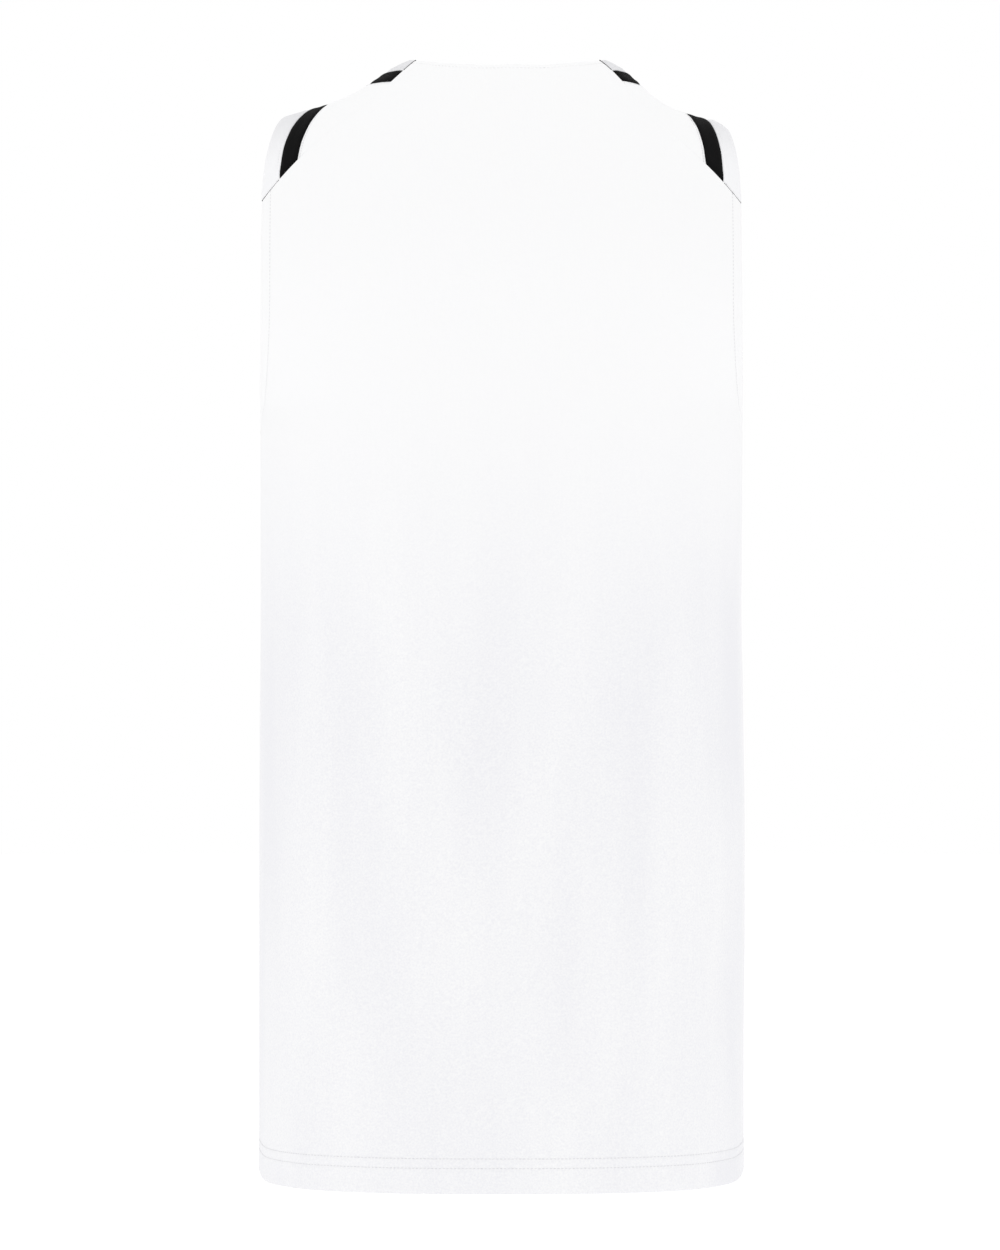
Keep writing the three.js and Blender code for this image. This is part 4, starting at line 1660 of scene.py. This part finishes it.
@dataclass
class EdgeTrim:
    """A strip of knit sewn round an opening. Sizes are in millimetres."""

    shop: Workshop
    name: str
    opening: Opening
    start: float
    width: float
    slot: Slot
    sides: tuple[Side, ...]
    stations: int = 110
    seam_margin: float = 0.03
    near_lines: tuple[float, ...] = (0.0, 0.35, 0.8, 1.4, 2.2, 3.4)
    turned: float = 0.2
    stitch_line: float = 2.0
    pucker_reach: float = 6.0

    def insets(self) -> np.ndarray:
        """Give the distances of the strip's lines from the opening's edge.

        Returns:
            The distances.
        """
        near = np.array(self.near_lines)
        middle = np.linspace(near[-1], self.width - near[-1], 4)[1:-1]
        away = np.concatenate([near, middle, self.width - near[::-1]])
        away[0] += 0.0 if self.start == 0.0 else self.seam_margin
        away[-1] -= self.seam_margin
        return self.start + away

    def length(self) -> float:
        """Give the length of the cut strip, along its middle.

        Returns:
            The length.
        """
        form = self.shop.form
        inset = self.start + self.width / 2.0
        middle = form.line_around(self.opening, inset, self.stations, Face.FRONT)
        return len(self.sides) * float(form.reach(middle)[-1])

    def outer(self, places: Grid, inset: np.ndarray) -> np.ndarray:
        """Give the outer face's distance from the middle of the cloth.

        Args:
            places: Where.
            inset: Their distances from the opening's edge.

        Returns:
            The distances.
        """
        relief = self.shop.relief
        off = self.shop.form.wall / 2.0 + relief.seam(relief.seam_distance(places))
        off = off + relief.seam(self.start + self.width - inset)
        off = off + relief.pucker(places, inset - self.start - self.width, self.pucker_reach)
        if self.start:
            return off + relief.seam(inset - self.start)
        stitches = relief.stitched(inset, [self.width - self.stitch_line])
        return off + self.turned + relief.rounded(inset) + stitches

    def inner(self, places: Grid, inset: np.ndarray) -> np.ndarray:
        """Give the inner face's distance from the middle of the cloth."""
        off = np.full(inset.shape, self.shop.form.wall / 2.0)
        return off if self.start else off + self.turned + self.shop.relief.rounded(inset)

    def build(self) -> None:
        """Build and dress the strip."""
        form = self.shop.form
        insets = self.insets()
        lines = [form.line_around(self.opening, inset, self.stations, Face.FRONT) for inset in insets]
        grid = refined_end(np.stack(lines), 1)
        weave = form.strip_weave(grid, insets)
        sheet = ClothSheet(form)
        for side in self.sides:
            sheet.add_on(side, grid, insets[:, None], weave)
        rim = 0.3 if self.start == 0.0 else 0.1
        piece = sheet.wall(f"{self.name}_cloth", self.outer, self.inner, rim)
        # White bindings take the knit with painted shade towards the shoulder tops.
        knit = self.shop.binding if self.slot is Slot.WHITE else self.shop.cloth[self.slot]
        self.shop.dress(piece, self.slot, knit)
        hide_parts(self.name)
        width, length = self.width * MM, self.length() * MM


@dataclass
class SeamAllowances:
    """The cut edges inside the seams, pressed flat to one side and overlocked. In millimetres."""

    shop: Workshop
    width: float = 7.0
    thickness: float = 1.1
    clearance: float = 0.12
    overlock_width: float = 4.0
    overlock_share: float = 0.35
    lines: int = 5
    stations: int = 110
    side_stations: int = 90
    shoulder_margin: float = 2.0
    neck_seams: tuple[float, float] = (17.0, 30.0)
    arm_seams: tuple[float, float] = (18.0, 31.0)

    def strip(self, name: str, grids: Sequence[Grid]) -> None:
        """Lay strips on the inner face of the cloth, with overlock along their cut edge.

        Args:
            name: The pieces' name.
            grids: For each strip, lines of places from the seam out to the cut edge.
        """
        form = self.shop.form
        sheet = ClothSheet(form)
        for grid in grids:
            across = np.linspace(0.0, self.width, len(grid))
            sheet.add_grid(grid, np.array(0.0), form.strip_weave(grid, across))
        top = -form.wall / 2.0 - self.clearance
        piece = sheet.wall(
            f"{name}_allowance",
            lambda places, _: np.full(len(places), top),
            lambda places, _: np.full(len(places), self.thickness - top),
            0.1,
        )
        self.shop.dress(piece, Slot.WHITE, self.shop.cloth[Slot.WHITE])
        lift = self.thickness - 2.0 * top - form.wall
        rows = []
        for grid in grids:
            middle = mix(grid[-2], grid[-1], self.overlock_share)
            points, normals = self.shop.surface(middle, lambda _: lift, True)
            rows.append(StitchRow(points, normals, pitch=1.9, length=3.2, radius=0.17, turned=58.0))
        thread = sew(f"{name}_overlock", rows)
        self.shop.dress(thread, Slot.WHITE, self.shop.thread[Slot.WHITE])
        length = sum(float(form.reach(grid[0])[-1]) for grid in grids) * MM

    def side_grid(self, side: Side) -> Grid:
        """Give the strip along a side seam, pressed towards the back.

        Args:
            side: The side of the jersey.

        Returns:
            Lines of places, from the seam outwards.
        """
        form = self.shop.form
        bottom = -form.body_length + form.hem_height - 4.0
        heights = np.linspace(bottom, -form.underarm_drop - 1.0, self.side_stations)
        lines = []
        for away in np.linspace(0.0, self.width, self.lines):
            share = form.side_edge - away / form.ring.length
            lines.append([form.level(z, Face.BACK, share * side.value) for z in heights])
        return np.array(lines)

    def round_grid(self, opening: Opening, seam: float, side: Side) -> Grid:
        """Give the strip along a trim's seam, pressed away from the opening.

        Args:
            opening: The neck or the armhole.
            seam: The seam's distance from its edge.
            side: The side of the jersey.

        Returns:
            Lines of places, from the seam outwards.
        """
        form = self.shop.form
        insets = seam + np.linspace(0.0, self.width, self.lines)
        lines = np.stack([
            form.line_around(opening, inset, self.stations, Face.FRONT) for inset in insets
        ])
        return on_side(lines, side)

    def shoulder_grid(self, side: Side) -> Grid:
        """Give the strip along a shoulder seam, pressed down the back.

        Args:
            side: The side of the jersey.

        Returns:
            Lines of places, from the seam outwards.
        """
        form = self.shop.form
        inset = self.width + self.shoulder_margin
        start, end = (
            form.line_around(opening, inset, 40, Face.BACK)[-1]
            for opening in (form.neck, form.armholes[side])
        )
        seam = Opening(form.seam_line(start, end, np.linspace(0.0, 1.0, 60)), False)
        aways = np.linspace(0.0, self.width, self.lines)
        grid = np.stack([form.moved_away(seam, away) for away in aways])
        return on_side(grid, side)

    def build(self) -> None:
        """Build the allowances of the side, shoulder and trim seams."""
        form = self.shop.form
        for side in Side:
            label = side.name.lower()
            self.strip(f"side_seam_{label}", [self.side_grid(side)])
            self.strip(f"shoulder_seam_{label}", [self.shoulder_grid(side)])
            for number, seam in enumerate(self.arm_seams, start=1):
                grid = self.round_grid(form.armholes[side], seam, side)
                self.strip(f"armhole_seam_{label}_{number}", [grid])
        for number, seam in enumerate(self.neck_seams, start=1):
            grids = [self.round_grid(form.neck, seam, side) for side in Side]
            self.strip(f"neck_seam_{number}", grids)


@dataclass
class Sewing:
    """All rows of thread that show on the jersey. Distances are in millimetres."""

    shop: Workshop
    neck_hem_line: float = 6.0
    arm_hem_line: float = 10.0
    neck_trim_lines: tuple[float, float] = (15.0, 31.6)
    arm_trim_lines: tuple[float, float] = (16.0, 32.6)
    trim_dip: float = -0.1
    edge_dip: float = -0.3
    seam_end_dip: float = -0.15
    neck_end: tuple[float, float] = (17.0, 0.28)
    arm_end: tuple[float, float] = (18.0, 0.2)
    hem_stations: int = 400
    edge_stations: int = 200

    def hem_rows(self, face: Face, inside: bool) -> list[StitchRow]:
        """Give the two rows of the bottom hem on one face.

        Args:
            face: The face of the body.
            inside: Whether they are on the inner face of the cloth.

        Returns:
            The rows.
        """
        form, relief = self.shop.form, self.shop.relief
        rows = []
        for line in relief.hem_lines:
            across = np.linspace(-1.0, 1.0, self.hem_stations)
            over = form.level(line - form.body_length, face, 0.0)[1]
            places = np.stack([across, np.full_like(across, over)], -1)
            depth = form.hem_wall - form.wall if inside else 0.0
            lift = (lambda _: depth) if inside else relief.hem
            points, normals = self.shop.surface(places, lift, inside)
            rows.append(StitchRow(points, normals, turned=35.0 if inside else 0.0))
        return rows

    def edge_row(
        self, opening: Opening, inset: float, face: Face, side: Side, lift: float, inside: bool = False
    ) -> StitchRow:
        """Give a row round an opening.

        Args:
            opening: The neck or the armhole.
            inset: The row's distance from the edge.
            face: Which face's stretch of the line it follows.
            side: The side of the jersey.
            lift: How far the cloth's face there is off its usual distance.
            inside: Whether the row is on the inner face.

        Returns:
            The row.
        """
        line = self.shop.form.line_around(opening, inset, self.edge_stations, face)
        places = on_side(line, side)
        pulled = face is Face.BACK and not inside
        depth = lift * (self.shop.relief.edge_pull(places) if pulled else 1.0)
        points, normals = self.shop.surface(places, lambda _: depth, inside)
        return StitchRow(points, normals)

    def seam_end_row(self, opening: Opening, width: float, side: Side, radius: float) -> StitchRow:
        """Give a row of black stitches along the shoulder seam, over the end of a binding.

        Args:
            opening: The neck or the armhole.
            width: The binding's width.
            side: The side of the jersey.
            radius: The thread's radius.

        Returns:
            The row, from the binding's free edge inwards.
        """
        form = self.shop.form
        insets = np.linspace(0.2, width, 9)
        ends = np.stack([form.line_around(opening, inset, 60, Face.FRONT)[-1] for inset in insets])
        points, normals = self.shop.surface(on_side(ends, side), lambda _: self.seam_end_dip)
        return StitchRow(points, normals, pitch=1.25, length=1.3, radius=radius)

    def build(self) -> None:
        """Sew every row, one piece for each seam's thread."""
        form, white = self.shop.form, self.shop.thread[Slot.WHITE]
        threads = {
            "hem_thread_back": self.hem_rows(Face.BACK, False),
            "hem_thread_front": self.hem_rows(Face.FRONT, False),
            "hem_thread_inside": self.hem_rows(Face.BACK, True) + self.hem_rows(Face.FRONT, True),
            "neck_trim_thread": [
                self.edge_row(form.neck, inset, Face.FRONT, side, self.trim_dip)
                for side in Side for inset in self.neck_trim_lines
            ],
        }
        for side in Side:
            label, armhole = side.name.lower(), form.armholes[side]
            threads[f"back_armhole_thread_{label}"] = [
                self.edge_row(armhole, self.arm_hem_line, Face.BACK, side, self.edge_dip, inside)
                for inside in (False, True)
            ]
            threads[f"armhole_trim_thread_{label}"] = [
                self.edge_row(armhole, inset, Face.FRONT, side, self.trim_dip)
                for inset in self.arm_trim_lines
            ]
        for name, rows in threads.items():
            self.shop.dress(sew(name, rows), Slot.WHITE, white)
        dark = sew("shoulder_seam_thread", [
            self.seam_end_row(opening, width, side, radius)
            for side in Side
            for opening, (width, radius) in (
                (form.neck, self.neck_end), (form.armholes[side], self.arm_end)
            )
        ])
        self.shop.dress(dark, Slot.BLACK, self.shop.thread[Slot.BLACK])
        fine = sew("back_neck_thread", [
            self.edge_row(form.neck, self.neck_hem_line, Face.BACK, side, self.edge_dip, inside)
            for side in Side for inside in (False, True)
        ])
        self.shop.dress(fine, Slot.WHITE, self.shop.neck_thread)


@dataclass
class Studio:
    """The pale floor, the soft light and the camera. Lengths are in metres."""

    eye_height: float = -0.3635
    eye_distance: float = 3.8
    eye_side: float = 0.00098
    frame_width: float = 0.65
    sensor: float = 36.0
    floor_height: float = -1.06
    floor_radius: float = 14.0
    floor_colours: tuple[tuple[float, float, float], ...] = ((0.88, 0.88, 0.885), (0.91, 0.91, 0.915))
    floor_glow: float = 0.22
    fill: float = 0.93
    key: float = 2.6
    above: float = 6.0
    softboxes: tuple[tuple[str, float, float], ...] = (
        ("behind", 0.3, 2.5), ("before", -0.3, -2.5), ("left", 2.5, 0.5), ("right", -2.5, 0.3),
    )

    def camera(self) -> None:
        """Set up the camera behind the jersey, level with the middle of it."""
        data = bpy.data.cameras.new("studio_camera")
        data.sensor_fit = "HORIZONTAL"
        data.sensor_width = self.sensor
        data.lens = self.sensor * self.eye_distance / self.frame_width
        data.clip_end = 100.0
        camera = bpy.data.objects.new("studio_camera", data)
        camera.location = (self.eye_side, self.eye_distance, self.eye_height)
        camera.rotation_euler = (math.pi / 2.0, 0.0, math.pi)
        bpy.context.scene.collection.objects.link(camera)
        bpy.context.scene.camera = camera

    def floor(self) -> None:
        """Lay a pale round floor well below the hem."""
        count = 96
        angle = np.linspace(0.0, 2.0 * math.pi, count, endpoint=False)
        ring = np.stack([np.cos(angle), np.sin(angle), np.zeros(count)], -1) * self.floor_radius
        ring[:, 2] = self.floor_height
        mesh = bpy.data.meshes.new("studio_floor")
        mesh.from_pydata(ring.tolist(), [], [list(range(count))])
        floor = bpy.data.objects.new("studio_floor", mesh)
        bpy.context.scene.collection.objects.link(floor)
        material, sketch = new_material("pale floor")
        place = sketch.add("ShaderNodeTexCoord").outputs["Object"]
        grain = sketch.noise(place, 3.0, 2.0)
        sketch.surface({
            "Base Color": sketch.mixed_colour(grain, *self.floor_colours),
            "Roughness": 0.9,
            "Specular IOR Level": 0.0,
            "Emission Color": (1.0, 1.0, 1.0, 1.0),
            "Emission Strength": self.floor_glow,
        })
        mesh.materials.append(material)

    def softbox(self, name: str, place: tuple[float, float, float], size: float, power: float) -> None:
        """Hang a square softbox that faces the middle of the jersey.

        Args:
            name: Its name.
            place: Where it hangs.
            size: The length of its sides.
            power: Its power in watts.
        """
        data = bpy.data.lights.new(name, "AREA")
        data.shape = "SQUARE"
        data.size = size
        data.energy = power
        light = bpy.data.objects.new(name, data)
        light.location = place
        aim = np.array([0.0, 0.0, self.eye_height]) - np.array(place)
        yaw = math.atan2(aim[0], -aim[1])
        tilt = math.acos(-aim[2] / float(np.linalg.norm(aim)))
        light.rotation_euler = (tilt, 0.0, yaw + math.pi)
        bpy.context.scene.collection.objects.link(light)

    def light(self) -> None:
        """Fill the studio with even light, a little brighter from the camera's side."""
        world = bpy.data.worlds.new("studio_world")
        world.use_nodes = True
        sketch = NodeSketch(world.node_tree)
        lighting = world.node_tree.nodes["Background"]
        lighting.inputs["Color"].default_value = (1.0, 1.0, 1.0, 1.0)
        lighting.inputs["Strength"].default_value = self.fill
        backdrop = sketch.add("ShaderNodeBackground")
        backdrop.inputs["Color"].default_value = (1.0, 1.0, 1.0, 1.0)
        seen = sketch.add("ShaderNodeLightPath")
        either = sketch.add("ShaderNodeMixShader")
        sketch.feed(either.inputs[0], seen.outputs["Is Camera Ray"])
        sketch.feed(either.inputs[1], lighting.outputs[0])
        sketch.feed(either.inputs[2], backdrop.outputs[0])
        sketch.feed(world.node_tree.nodes["World Output"].inputs["Surface"], either.outputs[0])
        bpy.context.scene.world = world
        for name, x, y in self.softboxes:
            self.softbox(f"softbox_{name}", (x, y, 0.9), 1.5, self.key)
        self.softbox("softbox_above", (0.0, 0.01, 2.4), 2.0, self.above)

    def build(self) -> None:
        """Set up the whole studio."""
        self.camera()
        self.floor()
        self.light()
        scene = bpy.context.scene
        scene.view_settings.view_transform = "Standard"
        scene.view_settings.look = "None"


def main() -> None:
    """Build the jersey piece by piece, then the studio."""
    logging.basicConfig(level=logging.INFO, format="%(name)s: %(message)s")
    studio = Studio()
    studio.build()
    shop = Workshop()
    form = shop.form
    back = BodyPanel(
        shop, Face.BACK,
        neck_insets=(0.0, 0.4, 1.0, 2.2, 4.0, 5.2, 6.0, 6.8, 8.4, 11.0),
        arm_insets=(0.0, 0.4, 1.0, 2.2, 5.0, 8.0, 9.2, 10.0, 10.8, 12.6, 15.0),
        neck_start=0.0, arm_start=0.0, neck_lines=(6.0,), arm_lines=(10.0,),
        cut=Cut(0.464, 0.728, 0.30),
    )
    front = BodyPanel(
        shop, Face.FRONT,
        neck_insets=(30.03, 30.4, 30.8, 31.6, 32.4, 33.6, 35.5, 38.0),
        arm_insets=(31.03, 31.4, 31.8, 32.6, 33.4, 34.6, 36.5, 39.0),
        neck_start=30.0, arm_start=31.0, neck_lines=(31.6,), arm_lines=(32.6,),
        cut=Cut(0.464, 0.885, 0.28), yoke_rows=26, neck_stations=56,
    )
    panels = [back.build(), front.build()]
    trims = [
        EdgeTrim(shop, "neck_binding", form.neck, 0.0, 17.0, Slot.WHITE, tuple(Side)),
        EdgeTrim(shop, "neck_stripe", form.neck, 17.0, 13.0, Slot.BLACK, tuple(Side)),
    ]
    for side in Side:
        for kind, start, width, slot in (
            ("binding", 0.0, 18.0, Slot.WHITE), ("stripe", 18.0, 13.0, Slot.BLACK)
        ):
            trims.append(EdgeTrim(
                shop, f"armhole_{kind}_{side.name.lower()}", form.armholes[side], start, width, slot,
                (side,), stations=130,
            ))
    for trim in trims:
        trim.build()
    SeamAllowances(shop).build()
    Sewing(shop).build()


if __name__ == "__main__":
    main()
